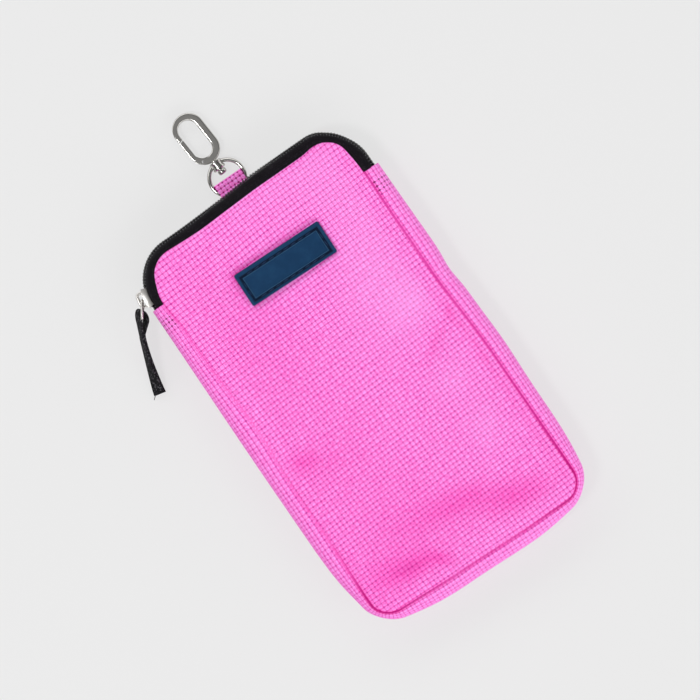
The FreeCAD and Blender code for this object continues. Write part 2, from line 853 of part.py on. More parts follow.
def hook_body():
    """The oval hook with its nose, the forked foot that holds the gate, and the riveted stem."""
    body = new_body("hook_body")
    place_on_clip(body)
    oval = new_sketch(body, "XY_Plane", "oval")
    outline(oval, long_round(-HOOK_END_RADIUS, HOOK_END_RADIUS, HOOK_FOOT, HOOK_TOP))
    eye_low = HOOK_FOOT + s["hook_foot"]
    eye_high = HOOK_TOP - s["hook_crown"]
    outline(oval, long_round(EYE_LEFT, EYE_RIGHT, eye_low, eye_high))
    pad(body, "bar", oval, s["hook_thick"], centred=True)

    beyond = -HOOK_END_RADIUS - s["gate_bar"]
    slope = s["gate_slant"] / s["gate_bar"]
    nose = GATE_TIP + s["gate_clear"]
    cheek_top = HOOK_FOOT + s["cheek_top"]
    window = new_sketch(body, "XY_Plane", "gate_window")
    outline(
        window,
        [
            (beyond, cheek_top),
            (EYE_MIDDLE, cheek_top),
            (EYE_MIDDLE, nose + slope * (EYE_MIDDLE - EYE_LEFT)),
            (beyond, nose + slope * (beyond - EYE_LEFT)),
        ],
    )
    pocket(body, "gate_gap", window, s["hook_thick"], centred=True)

    slot = new_sketch(body, "XY_Plane", "slot_outline")
    slot_right = GATE_PIVOT_X + 2 * s["eye_radius"]
    outline(slot, box_points(beyond, HOOK_FOOT, slot_right, cheek_top))
    pocket(body, "slot", slot, s["gate_thick"] + 2 * s["slot_clear"], centred=True)

    pin_hole = new_sketch(body, "XY_Plane", "pin_circle")
    round_hole(pin_hole, GATE_PIVOT_X, GATE_PIVOT_Y, PIN_HOLE_RADIUS)
    pocket(body, "pin_hole", pin_hole, s["hook_thick"], centred=True)

    stem_top = HOOK_FOOT + s["stem_root"]
    head_top = BOSS_FOOT - s["swivel_clear"]
    stem = new_sketch(body, "XZ_Plane", "stem_circle", offset=-stem_top)
    round_hole(stem, 0, 0, s["stem_radius"])
    pad(body, "stem", stem, stem_top - head_top)
    head = new_sketch(body, "XZ_Plane", "head_circle", offset=-head_top)
    round_hole(head, 0, 0, s["head_radius"])
    pad(body, "head", head, s["head_high"])
    return body


def spring_leg_points(half_width):
    """The strip along the middle of the gate, from its pivot upwards, that the spring's leg lies in."""
    x = (EYE_LEFT - HOOK_END_RADIUS) / 2
    run = x - GATE_PIVOT_X
    y = GATE_PIVOT_Y + s["spring_leg"]
    slide = half_width * run / s["spring_leg"]
    return [
        (GATE_PIVOT_X - half_width - SPRING_INSIDE, GATE_PIVOT_Y - slide),
        (GATE_PIVOT_X + half_width - SPRING_INSIDE, GATE_PIVOT_Y + slide),
        (x + half_width, y + slide),
        (x - half_width, y - slide),
    ]


def gate():
    """The sprung bar that closes the hook, with an eye on the gate pin and a channel for its spring."""
    body = new_body("gate")
    place_on_clip(body)
    shoulder = HOOK_FOOT + HOOK_END_RADIUS
    inner_bend = HOOK_FOOT + s["hook_foot"] + EYE_END_RADIUS
    knee_turn = 2 * s["gate_bar"] / HOOK_END_RADIUS * DEGREES
    around = (as_size(0), shoulder)
    bar = new_sketch(body, "XY_Plane", "bar_outline")
    outline(
        bar,
        [
            (-HOOK_END_RADIUS, GATE_TIP - s["gate_slant"]),
            (-HOOK_END_RADIUS, shoulder),
            (
                -HOOK_END_RADIUS * cosine(knee_turn),
                shoulder - HOOK_END_RADIUS * sine(knee_turn),
                around,
            ),
            (GATE_PIVOT_X, GATE_PIVOT_Y),
            (EYE_LEFT, inner_bend),
            (EYE_LEFT, GATE_TIP),
        ],
    )
    pad(body, "bar", bar, s["gate_thick"], centred=True)
    eye = new_sketch(body, "XY_Plane", "eye_circle")
    round_hole(eye, GATE_PIVOT_X, GATE_PIVOT_Y, s["eye_radius"])
    pad(body, "eye", eye, s["gate_thick"], centred=True)
    hole = new_sketch(body, "XY_Plane", "pin_circle")
    round_hole(hole, GATE_PIVOT_X, GATE_PIVOT_Y, PIN_HOLE_RADIUS)
    pocket(body, "pin_hole", hole, s["gate_thick"], centred=True)
    channel_wide = s["spring_wire"] + 2 * s["spring_clear"]
    well = new_sketch(body, "XY_Plane", "spring_well")
    round_hole(well, GATE_PIVOT_X, GATE_PIVOT_Y, SPRING_OUTSIDE + s["spring_clear"])
    pocket(body, "well", well, channel_wide, centred=True)
    channel = new_sketch(body, "XY_Plane", "spring_channel")
    outline(channel, spring_leg_points(s["spring_wire"] / 2 + s["spring_clear"]))
    pocket(body, "channel", channel, channel_wide, centred=True)
    return body


def gate_pin():
    body = new_body("gate_pin")
    place_on_clip(body)
    sketch = new_sketch(body, "XY_Plane", "circle")
    round_hole(sketch, GATE_PIVOT_X, GATE_PIVOT_Y, s["pin_radius"])
    pad(body, "pin", sketch, s["hook_thick"], centred=True)
    return body


def gate_spring():
    """One turn of wire round the gate pin, with a leg up the gate and a leg along the hook's foot."""
    body = new_body("gate_spring")
    place_on_clip(body)
    wire = s["spring_wire"]
    turn = new_sketch(body, "XY_Plane", "turn")
    round_hole(turn, GATE_PIVOT_X, GATE_PIVOT_Y, SPRING_OUTSIDE)
    round_hole(turn, GATE_PIVOT_X, GATE_PIVOT_Y, SPRING_INSIDE)
    pad(body, "turn_wire", turn, wire, centred=True)
    up = new_sketch(body, "XY_Plane", "gate_leg")
    outline(up, spring_leg_points(wire / 2))
    pad(body, "gate_leg_wire", up, wire, centred=True)
    along = new_sketch(body, "XY_Plane", "foot_leg")
    low = GATE_PIVOT_Y - SPRING_OUTSIDE
    leg_end = GATE_PIVOT_X + 2 * s["eye_radius"] - s["spring_clear"]
    outline(along, box_points(GATE_PIVOT_X, low, leg_end, low + wire))
    pad(body, "foot_leg_wire", along, wire, centred=True)
    return body


def build_all():
    return [
        flat_panel("back_panel", as_size(0)),
        flat_panel("front_panel", FRONT_INSIDE),
        seam_binding("back_seam_binding", s["fabric_thick"]),
        seam_binding("front_seam_binding", FRONT_INSIDE - s["binding_deep"]),
        gusset_strip(),
        zip_tape("zip_tape_front", s["pouch_depth"] - s["tape_sink"], -1),
        zip_tape("zip_tape_back", BACK_TAPE_LOW, 1),
        zip_coil("zip_coil_front", 1),
        zip_coil("zip_coil_back", -1),
        label_patch(),
        label_thread(),
        hanging_tab(),
        slider_body(),
        slider_bridge(),
        puller_loop(),
        pull_strap(),
        swivel_ring(),
        hook_body(),
        gate(),
        gate_pin(),
        gate_spring(),
    ]


def check_document(bodies):
    """Stops if any object failed or any sub-part has no valid solid."""
    failed = [thing.Name for thing in doc.Objects if {"Invalid", "Error"} & set(thing.State)]
    if failed:
        raise ValueError(f"these failed: {', '.join(failed)}")
    for body in bodies:
        if body.Shape.isNull() or not body.Shape.isValid() or not body.Shape.Solids:
            raise ValueError(f"{body.Label} has no valid solid")


def main():
    bodies = build_all()
    doc.recompute()
    check_document(bodies)
    os.makedirs("parts", exist_ok=True)
    for body in bodies:
        body.Shape.exportStep(f"parts/{body.Label}.step")
        print(f"{body.Label}: {len(body.Shape.Solids)} solid, {body.Shape.Volume:.1f} mm3")


main()
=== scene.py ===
"""The looks of a zipped phone pouch of open woven fabric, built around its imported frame.

Metres. The pouch lies on its back: X runs across it, Y up to the zip, Z out of its front.
"Out" is a distance outside the seam line, and "cells" count the holes of the weave.
"""

import json
import math

import bmesh
import bpy
from mathutils import Matrix, Vector, noise
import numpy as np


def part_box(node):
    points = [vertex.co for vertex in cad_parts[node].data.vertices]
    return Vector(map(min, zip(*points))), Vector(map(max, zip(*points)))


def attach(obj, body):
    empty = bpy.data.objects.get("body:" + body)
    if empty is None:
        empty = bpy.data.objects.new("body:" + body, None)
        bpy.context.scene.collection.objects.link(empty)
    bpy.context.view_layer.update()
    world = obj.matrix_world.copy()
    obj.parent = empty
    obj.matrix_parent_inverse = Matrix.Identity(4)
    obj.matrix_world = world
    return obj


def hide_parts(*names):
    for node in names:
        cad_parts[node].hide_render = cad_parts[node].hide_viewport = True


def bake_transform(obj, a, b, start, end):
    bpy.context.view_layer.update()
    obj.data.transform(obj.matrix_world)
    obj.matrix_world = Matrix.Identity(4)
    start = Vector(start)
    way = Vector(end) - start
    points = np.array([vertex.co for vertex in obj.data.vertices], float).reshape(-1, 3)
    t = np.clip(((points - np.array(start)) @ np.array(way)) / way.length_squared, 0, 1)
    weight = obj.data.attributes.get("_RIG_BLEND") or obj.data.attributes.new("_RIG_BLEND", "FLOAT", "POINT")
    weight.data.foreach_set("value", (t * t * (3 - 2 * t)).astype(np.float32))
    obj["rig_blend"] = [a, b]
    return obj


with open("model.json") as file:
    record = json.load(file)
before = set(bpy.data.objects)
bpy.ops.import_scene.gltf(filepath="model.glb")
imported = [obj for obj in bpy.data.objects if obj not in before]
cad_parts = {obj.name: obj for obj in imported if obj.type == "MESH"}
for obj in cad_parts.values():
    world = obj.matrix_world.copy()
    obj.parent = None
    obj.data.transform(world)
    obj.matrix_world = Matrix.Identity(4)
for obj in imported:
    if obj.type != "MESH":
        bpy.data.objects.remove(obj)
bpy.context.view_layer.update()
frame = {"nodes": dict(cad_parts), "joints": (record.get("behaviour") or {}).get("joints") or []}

MM = 0.001
scene = bpy.context.scene
joints = {joint["name"]: joint for joint in frame["joints"]}

# Sizes that the frame gives
HALF_WIDTH, HALF_HEIGHT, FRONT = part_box("front_panel")[1]
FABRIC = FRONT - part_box("front_panel")[0].z
MID_DEPTH = FRONT / 2
TAPE_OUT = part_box("zip_tape_front")[1].x - HALF_WIDTH
COIL_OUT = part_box("zip_coil_front")[1].x - HALF_WIDTH
LABEL_LOW, LABEL_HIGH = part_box("label_patch")
TAB_LOW, TAB_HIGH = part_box("hanging_tab")
GUSSET_POINTS = [vertex.co for vertex in frame["nodes"]["gusset_strip"].data.vertices]
ZIP_END_SLIP = 1.6 * MM
ZIP_END_LEFT = max(point.y for point in GUSSET_POINTS if point.x < 0)
ZIP_END_RIGHT = max(point.y for point in GUSSET_POINTS if point.x > 0) - ZIP_END_SLIP

# Panels and weave
TOP_CORNER = 13.5 * MM
BOTTOM_CORNER = 9.5 * MM
CORNER_CUTS = 10
CUT_SPARE = 1.05
CELL_X = 1.915 * MM
CELL_Y = 1.94 * MM
WEAVE_TILT = math.radians(1.2)
PANEL_STEPS = 4
GUSSET_STEPS = 3
RELIEF = 0.13 * MM
WEAVE_BODY = 0.34
WEAVE_CROWN = 0.32
WOBBLE = 0.16
WOBBLE_CELLS = 1.7
WOBBLE_ALONG = 14.0
EDGE_SCALLOP = 0.42 * MM
EDGE_RISE = 0.4 * MM
WALL_DEEP = 0.1 * MM
GROOVE_WIDE = 0.55 * MM
GROOVE_SHALLOW = 0.3 * MM
GROOVE_DEEPER = 0.85 * MM
SHOULDER_DEEP = 0.3 * MM
SHOULDER_WIDE = 4.0 * MM

# How the cloth settles away from the sewn seam
ZIP_BOW = 1.6 * MM
LOW_LEFT_RISE = 1.4 * MM
LOW_RIGHT_DROP = 0.8 * MM
LEFT_WANDER = 1.4 * MM
LEFT_FOOT_WANDER = 0.6 * MM
RIGHT_WANDER = 0.35 * MM
RIGHT_DRAW = 1.65 * MM
RIGHT_RETURN = 0.4 * MM
CORNER_SLIP = 0.6 * MM
SPREAD_LEFT = 1.15 * MM
SPREAD_RIGHT = 1.0 * MM
SPREAD_BREAK = 0.85

# Soft folds of the front panel in millimetres: middle, direction in degrees, half length, half width, height
FRONT_FOLDS = (
    (33.0, 45.0, 80.0, 50.0, 20.0, 0.6),
    (34.0, 14.0, 30.0, 14.0, 9.0, 0.45),
    (35.0, -3.5, 30.0, 15.0, 3.6, -0.75),
    (-41.0, -14.0, -15.0, 8.0, 4.5, -0.5),
    (-33.0, -20.0, 0.0, 12.0, 8.0, -0.2),
    (30.0, -22.0, 20.0, 12.0, 7.0, 0.42),
    (42.0, -21.0, 0.0, 6.0, 4.0, -0.2),
    (30.0, -46.0, 70.0, 16.0, 10.0, 0.47),
    (3.0, -64.0, -5.0, 17.0, 6.0, -0.6),
    (23.0, -75.0, -14.0, 17.0, 6.5, -0.65),
    (-27.0, -76.5, -10.0, 13.0, 5.5, -0.6),
    (-14.0, -82.0, -50.0, 7.0, 3.0, -0.5),
    (-38.0, -71.0, 0.0, 7.0, 6.0, -0.15),
    (47.0, 0.0, 90.0, 80.0, 3.0, -0.7),
    (-46.0, 20.0, 90.0, 40.0, 3.0, 0.35),
    (0.0, 84.0, 0.0, 50.0, 5.0, 0.15),
)
# Painted light on the folds' crests and painted shade in their hollows, as tone per metre of fold height
FOLD_LIGHT_AND_SHADE = 1.4 / MM
RIPPLE = 0.22 * MM
RIPPLE_LENGTH = 30.0 * MM
BACK_HOLLOW = 0.25 * MM

# Tones of the cloth, painted light and shade: paler above 0, deeper below it
# Painted shade in the seam's groove, on its left and right sides
SEAM_SHADE_LEFT = -1.55
SEAM_SHADE_LOW_LEFT = -0.95
SEAM_SHADE_RIGHT = -2.9
SEAM_SHADE_LOW_RIGHT = 0.35
# The panel's broad painted light near the top, and painted shade to the left, low down and below the middle
PAINTED_LIGHT_TOP = 0.3
PAINTED_SHADE_LEFT = -0.5
PAINTED_SHADE_LOW = -0.3
PAINTED_SHADE_MIDDLE = -0.28
GUSSET_TONE = 0.1
# The gusset's painted light: paler along the bottom and on the right side's outer face
GUSSET_PAINTED_LIGHT_LOW = 0.35
GUSSET_PAINTED_LIGHT_RIGHT = 0.4

# Where a wrapped sheet's flat length is measured, as a share of its reach outside the seam
CUT_SHARE = 0.7

# Gusset: how far it bulges outside the seam, and where it is drawn in
GUSSET_SQUARENESS = 2.5
GUSSET_TOP_BULGE = 6.2 * MM
GUSSET_LOW_BULGE = 7.0 * MM
CORNER_PINCH_LEFT = 3.3 * MM
CORNER_PINCH_RIGHT = 2.85 * MM
CORNER_PINCH_LONG = 17.0 * MM
CORNER_PINCH_BEFORE = 3.5 * MM
BOTTOM_BULGE = 6.35 * MM
NOTCH_Y = 17.5 * MM
NOTCH_DEEP = 0.9 * MM
NOTCH_LONG = 7.0 * MM
SWELL = 0.6 * MM
SWELL_Y = -20.0 * MM
SWELL_LONG = 15.0 * MM
LEFT_SWELL = 0.3 * MM
GUSSET_SINK = 0.2 * MM
GUSSET_TUCK = 0.9 * MM
TAIL_SHADE_FROM = 4.5 * MM
TAIL_SHADE_TO = 11.0 * MM

# Zip
TAPE_THICK = 0.6 * MM
TAPE_ROUND = 4.0 * MM
TAPE_TAIL = 8.0 * MM
TAPE_EDGE = 0.55 * MM
TAPE_LIP = 0.5 * MM
TAPE_UNDER = 0.4 * MM
TAPE_ROWS = 24
TAPE_TUCK_FLAT = 0.35
TAPE_TUCK_IN = 0.3 * MM
TAPE_OVER_TAB = 0.3 * MM
TAPE_BESIDE_TAB = 4.5 * MM
COIL_WIRE = 0.31 * MM
COIL_PITCH = 1.3 * MM
COIL_WIDE = 2.75 * MM
COIL_MEET = 0.35 * MM
COIL_TUCK = 2.0 * MM
COIL_STEPS = 10
COIL_STITCH_OUT = 0.25 * MM
COIL_STITCH_LONG = 0.9 * MM
COIL_STITCH_RADIUS = 0.2 * MM
ZIP_RISE = 1.6 * MM
ZIP_REACH_TOP = 0.6 * MM
ZIP_CORNER_DRAW = 0.72 * MM
RING_ROOM = 1.6 * MM
RING_ROOM_X = 4.0 * MM
RING_ROOM_LONG = 12.0 * MM
RING_ROOM_DEEP = 3.0 * MM

# Bound seam allowances
BINDING_IN = 1.9 * MM
BINDING_DEEP = 0.5 * MM
BINDING_HALF_WIDE = 0.9 * MM
BINDING_ROUND = 0.7 * MM
BINDING_STEP = 6.0 * MM
BINDING_CORNER_STEPS = 8

# Slider's bridge, wire puller and webbing strap
SLIDER_ROUND = 0.22 * MM
BRIDGE_HALF_LONG = 3.0 * MM
BRIDGE_HALF_WIDE = 1.7 * MM
BRIDGE_THICK = 1.2 * MM
BRIDGE_FOOT = 1.5 * MM
BRIDGE_CLEAR = 0.3 * MM
BRIDGE_ROUND = 0.4 * MM
BRIDGE_STEPS = 6
PULLER_WIRE = 0.55 * MM
PULLER_LONG = 8.0 * MM
PULLER_HALF = 3.8 * MM
PULLER_BEND = 1.3 * MM
PULLER_HEADING = math.radians(236.0)
STRAP_HEADING = math.radians(248.0)
STRAP_HALF_WIDE = 2.6 * MM
STRAP_HALF_THICK = 0.42 * MM
STRAP_LAYER = 0.46 * MM
STRAP_LOOP = 1.65 * MM
STRAP_LOOP_LONG = 3.4 * MM
STRAP_LOOP_X = -0.3 * MM
STRAP_LOOP_LEAN = 0.3
STRAP_LOOP_FROM = 62
STRAP_LOOP_STEPS = 24
STRAP_JOIN = 6.5 * MM
STRAP_LONG = 32.0 * MM
STRAP_REST = 0.6 * MM
STRAP_SLANT = -0.15
STRAP_BOW = 1.6 * MM
STRAP_ROUND = 0.3 * MM
STRAP_STEPS = 22
STRAP_LOOP_TWIST = math.radians(-25.0)
STRAP_NECK_TWIST = math.radians(-16.0)
STRAP_END_TWIST = math.radians(-66.0)
STRAP_TWIST_POWER = 2.2
STRAP_BOW_POWER = 0.8
STRAP_EVEN_FALL = 0.35
THREAD_RADIUS = 0.14 * MM
THREAD_STEPS = 14
THREAD_FROM = Vector((1.4, 0.2, 0.0)) * MM
THREAD_REACH = Vector((-2.6, -1.2, 0.0)) * MM
THREAD_CURL = Vector((0.0, 0.3, 0.3)) * MM

# Label
LABEL_HALF_WIDE = 20.85 * MM
LABEL_HALF_TALL = 7.6 * MM
LABEL_THICK = 1.5 * MM
LABEL_DIP = 0.2 * MM
LABEL_DIP_WIDE = 1.8 * MM
LABEL_TURN = math.radians(-1.2)
LABEL_CORNER = 0.8 * MM
LABEL_LEAST_CORNER = 0.12 * MM
LABEL_RIM = 1.5 * MM
LABEL_GROOVE = 1.1 * MM
LABEL_GROOVE_DEEP = 0.5 * MM
LABEL_GROOVE_LOWER = 0.35 * MM
STITCH_LONG = 2.9 * MM
STITCH_PITCH = 3.6 * MM
STITCH_RADIUS = 0.3 * MM
STITCH_LEAN = 3.0

# Tab and clip, whose own frame has the ring's centre as its origin and the stem along its Y
TAB_HALF_WIDE = 6.7 * MM
TAB_RISE = 0.8 * MM
TAB_THICK = 0.7 * MM
TAB_ROOT = 2.0 * MM
TAB_SLOPE_FOOT = 1.8 * MM
TAB_SLOPE_TOP = 4.1 * MM
TAB_BEND_BELOW = 2.6 * MM
TAB_BEND_ABOVE = 0.9 * MM
TAB_HOLE_SHADE = 0.9
RING_RADIUS = 7.55 * MM
RING_WIRE = 0.9 * MM
BOSS_LOW = 4.6 * MM
BOSS_HIGH = 8.5 * MM
BOSS_EDGE = 0.35 * MM
BOSS_WAIST = 2.5 * MM
BOSS_FLANGE = 2.85 * MM
BOSS_NARROW_TO = 0.32
BOSS_WIDE_FROM = 0.48
BORE_RADIUS = 1.31 * MM
STEM_RADIUS = 1.25 * MM
STEM_SUNK = 0.6 * MM
RIVET_HEAD = ((0.0, 2.2), (1.2, 2.2), (1.7, 2.45), (1.9, 2.9), (1.9, 4.0), (1.65, 4.3))
HOOK_FOOT = 8.8 * MM
HOOK_TOP = 32.8 * MM
HOOK_HALF_WIDE = 6.95 * MM
HOOK_HALF_THICK = 1.75 * MM
HOOK_SQUARENESS = 5
BAR_POINTS = 40
CROWN_STEPS = 24
FOOT_STEPS = 14
EYE_RADIUS = 4.2 * MM
EYE_MIDDLE = -0.53 * MM
EYE_LOW = 12.0 * MM
EYE_HIGH = 29.9 * MM
GATE_TIP = 23.7 * MM
GATE_SLANT = 0.6 * MM
GATE_CLEAR = 0.35 * MM
GATE_HALF_THICK = 1.05 * MM
GATE_PIVOT = Vector((-3.8 * MM, 11.4 * MM, 0))
GATE_EYE = 1.2 * MM
GATE_EYE_EDGE = 0.2 * MM
GATE_CURVE = math.radians(52.0)
GATE_NARROW = 0.25
GATE_SQUARENESS = 6
GATE_STEPS = 8
PIN_RADIUS = 0.55 * MM
PIN_DOME = 0.18 * MM
CHEEK_THICK = 0.5 * MM
CHEEK_FROM = math.radians(-97.0)
CHEEK_TO = math.radians(-160.0)
CHEEK_STEPS = 8
BAR_END = math.radians(-100.0)

# Camera
PHOTO_TURN = math.radians(-34.5)
PHOTO_MM_PER_PIXEL = 0.415
PHOTO_SIZE = 700
PHOTO_ORIGIN = Vector((363.1, 378.8))
CAMERA_HIGH = 1.5

# Room
FLOOR_HALF = 30.0
FLOOR_LOW = 0.15 * MM
FLOOR_SHADOW = 0.22
FILL_SIDE = (0.8, -0.6, 0.0)
ROOM_DARK = 0.12
WALL_BRIGHT = 2.6
HORIZON_BRIGHT = 1.6
CEILING_MIDDLE = 0.3
LAMP_SPOT = (-0.78, 0.05, 1.6)
LAMP_SIZE = 0.3
LAMP_WATTS = 8.7


def joint_spot(name):
    return Vector(joints[name]["pos_m"])


def clip_matrix():
    """The clip's own frame, from the swivel's place and direction."""
    axis = Vector(joints["hook_swivel"]["axis"])
    lean = math.atan2(-axis.x, axis.y)
    return Matrix.Translation(joint_spot("hook_swivel")) @ Matrix.Rotation(lean, 4, "Z")


CLIP = clip_matrix()


# Small helpers


def smooth_step(low, high, value):
    share = min(1.0, max(0.0, (value - low) / (high - low)))
    return share * share * (3 - 2 * share)


def fade(value, start, stop):
    """A smooth rise from 0 at one place to 1 at another, both in millimetres."""
    return smooth_step(start * MM, stop * MM, value)


def bell(value, width):
    return math.exp(-((value / width) ** 2))


def hump(value, middle, width):
    """A bell with its middle and width in millimetres."""
    return bell(value - middle * MM, width * MM)


def even_points(points, count):
    """Points evenly spaced along a chain of 2-D points."""
    points = [Vector(point) for point in points]
    lengths = [0.0]
    for here, there in zip(points, points[1:]):
        lengths.append(lengths[-1] + (there - here).length)
    found = []
    leg = 0
    for step in range(count + 1):
        distance = lengths[-1] * step / count
        while leg < len(points) - 2 and lengths[leg + 1] < distance:
            leg += 1
        share = (distance - lengths[leg]) / (lengths[leg + 1] - lengths[leg])
        found.append(points[leg].lerp(points[leg + 1], share))
    return found, lengths[-1]


def arc_points(centre, radius, first, last, count):
    """Points of an arc between two angles in degrees."""
    found = []
    for step in range(count + 1):
        angle = math.radians(first + (last - first) * step / count)
        found.append((centre[0] + radius * math.cos(angle), centre[1] + radius * math.sin(angle)))
    return found


def rounded_walk(half_a, half_b, corner, steps):
    """Points round a rounded rectangle with the angle of each point's outward direction."""
    found = []
    for quarter, (a, b) in enumerate(((1, 1), (-1, 1), (-1, -1), (1, -1))):
        for step in range(steps + 1):
            angle = math.pi / 2 * (quarter + step / steps)
            x = a * (half_a - corner) + corner * math.cos(angle)
            y = b * (half_b - corner) + corner * math.sin(angle)
            found.append((x, y, angle))
    return found


def rounded_ring(half_a, half_b, corner, steps=3):
    """A rectangle with rounded corners, as ring points."""
    return [(a, b) for a, b, _ in rounded_walk(half_a, half_b, corner, steps)]


def squared_ring(power, count):
    """A circle of radius 1 drawn out towards a square, as ring points."""
    found = []
    for step in range(count):
        angle = 2 * math.pi * (step + 0.5) / count
        a, b = math.cos(angle), math.sin(angle)
        found.append((math.copysign(abs(a) ** (2 / power), a), math.copysign(abs(b) ** (2 / power), b)))
    return found


def round_ring(radius, count):
    return arc_points((0, 0), radius, 0, 360 * (count - 1) / count, count - 1)


def make_piece(name, bm, material, sharp=None):
    """The finished object of a bmesh, smooth but for edges sharper than an angle in degrees."""
    mesh = bpy.data.meshes.new(name)
    bm.to_mesh(mesh)
    bm.free()
    mesh.shade_smooth()
    if sharp is not None:
        mesh.set_sharp_from_angle(angle=math.radians(sharp))
    mesh.materials.append(material)
    piece = bpy.data.objects.new(name, mesh)
    scene.collection.objects.link(piece)
    return piece


def dress(piece, body, slot, *nodes):
    """Puts a piece on its body, in the place of the solids that it stands for."""
    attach(piece, body)
    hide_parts(*nodes)
    return piece


def thicken(piece, thickness, inwards=True):
    wall = piece.modifiers.new("wall", "SOLIDIFY")
    wall.thickness = thickness
    wall.offset = -1 if inwards else 0
    wall.use_even_offset = False


# Walks along the seam


class SeamLine:
    """A walk along the seam: straight runs with a quarter turn between each two."""

    def __init__(self, start, heading, outward, runs, corner):
        self.start = Vector(start)
        self.heading = Vector(heading)
        self.outward = Vector(outward)
        self.runs = runs
        self.corner = corner

    def length(self, out):
        return sum(self.runs) + (len(self.runs) - 1) * self.arc(out)

    def arc(self, out):
        return (self.corner + out) * math.pi / 2

    def at(self, distance, out):
        """The seam point and the outward direction at a distance that is walked this far outside the seam."""
        point, heading, outward = self.start.copy(), self.heading, self.outward
        for run in self.runs[:-1]:
            if distance <= run:
                break
            distance -= run
            centre = point + heading * run - outward * self.corner
            angle = min(distance, self.arc(out)) / (self.corner + out)
            distance -= min(distance, self.arc(out))
            heading, outward = (
                heading * math.cos(angle) - outward * math.sin(angle),
                outward * math.cos(angle) + heading * math.sin(angle),
            )
            point = centre + outward * self.corner
            if angle < math.pi / 2 - 1e-9:
                return point, outward
        return point + heading * distance, outward


def zip_line(below):
    """Over the top of the pouch, from a little below the left zip end to as far below the right one."""
    corner = HALF_HEIGHT - TOP_CORNER
    start = (-HALF_WIDTH, ZIP_END_LEFT - below)
    runs = (corner - start[1], 2 * (HALF_WIDTH - TOP_CORNER), corner - ZIP_END_RIGHT + below)
    return SeamLine(start, (0, 1), (-1, 0), runs, TOP_CORNER)


def gusset_line():
    """Down the left side of the pouch, along its bottom and up its right side."""
    corner = HALF_HEIGHT - BOTTOM_CORNER
    runs = (ZIP_END_LEFT + corner, 2 * (HALF_WIDTH - BOTTOM_CORNER), corner + ZIP_END_RIGHT)
    return SeamLine((-HALF_WIDTH, ZIP_END_LEFT), (0, -1), (-1, 0), runs, BOTTOM_CORNER)


def settled(x, y):
    """Where a seam point of the cloth settles: the zip bows up to the right and the bottom corners slip."""
    top = smooth_step(25 * MM, HALF_HEIGHT, y)
    low = smooth_step(-60 * MM, -HALF_HEIGHT, y)
    up = ZIP_BOW * top * fade(x, -34, 14)
    up += low * (LOW_LEFT_RISE * fade(x, -12, -48) - LOW_RIGHT_DROP * fade(x, -10, 25))
    past_x = max(0.0, abs(x) - (HALF_WIDTH - TOP_CORNER))
    past_y = max(0.0, y - (HALF_HEIGHT - TOP_CORNER))
    outward = Vector((math.copysign(past_x, x), past_y)) / TOP_CORNER
    return Vector((x + seam_shift(x, y), y + up)) + outward * zip_spread(x, y)


def seam_shift(x, y):
    """How far the side seams wander to the right of where they are sewn."""
    left = LEFT_WANDER * hump(y, 8, 22) - LEFT_FOOT_WANDER * fade(y, -45, -78)
    right = RIGHT_WANDER - RIGHT_DRAW * fade(y, -22, 22) + RIGHT_RETURN * fade(y, 45, 75)
    right -= CORNER_SLIP * hump(y, 79, 4.5)
    return left * fade(x, -20, -48) + right * fade(x, 20, 48)


def zip_spread(x, y):
    """How far the cloth spreads over the zip, and so narrows it: most at its left corner."""
    left = SPREAD_LEFT * fade(x, -16, -44) * (1 - SPREAD_BREAK * hump(y, 80.5, 5))
    right = SPREAD_RIGHT * fade(x, 30, 42) * fade(y - ZIP_END_RIGHT, 6, 17)
    return (left + right) * fade(y - ZIP_END_LEFT, -14, 1)


def seam_depth(y):
    """How deep the seam's groove is: shallow beside the zip, deep round the bottom."""
    return GROOVE_SHALLOW + GROOVE_DEEPER * fade(y, 10, -75)


def seam_shade(x, y):
    """How much painted shade lies in the seam's groove: most at the right and low down."""
    left = SEAM_SHADE_LEFT + SEAM_SHADE_LOW_LEFT * fade(y, -35, -80)
    right = SEAM_SHADE_RIGHT + SEAM_SHADE_LOW_RIGHT * fade(y, -76, -88)
    return left + (right - left) * fade(x, -30, 30)


def painted_light_and_shade(x, y):
    """The panel's broad painted light and shade: deeper to the left, below the middle and low down, paler
    near the top.
    """
    low = fade(y, -30, -70) * fade(y, -86, -78)
    top = fade(y, 60, 76) * hump(x, 0, 30)
    middle = hump(x, -14, 18) * hump(y, -30, 24)
    left = fade(x, 12, -30)
    return PAINTED_LIGHT_TOP * top + PAINTED_SHADE_LEFT * left + PAINTED_SHADE_LOW * low + PAINTED_SHADE_MIDDLE * middle


def label_dip(x, y):
    """1 at the label, fading out beside it, where its stitches draw the cloth in."""
    aside = max(LABEL_LOW.x - x, x - LABEL_HIGH.x, 0)
    above = max(LABEL_LOW.y - y, y - LABEL_HIGH.y, 0)
    return bell(math.hypot(aside, above), LABEL_DIP_WIDE)


def seam_inset(x, y):
    """How far inside the seam a point of a panel lies."""
    corner = TOP_CORNER if y > 0 else BOTTOM_CORNER
    past_x = abs(x) - (HALF_WIDTH - corner)
    past_y = abs(y) - (HALF_HEIGHT - corner)
    if past_x > 0 and past_y > 0:
        return corner - math.hypot(past_x, past_y)
    return min(HALF_WIDTH - abs(x), HALF_HEIGHT - abs(y))


# Woven sheets


def wobbled(u, v):
    """A place in cells, moved a little, because no two yarns lie quite alike."""
    aside = noise.noise(Vector((u / WOBBLE_CELLS, v / WOBBLE_ALONG, 0.5)))
    along = noise.noise(Vector((v / WOBBLE_CELLS, u / WOBBLE_ALONG, 7.5)))
    return u + WOBBLE * aside, v + WOBBLE * along


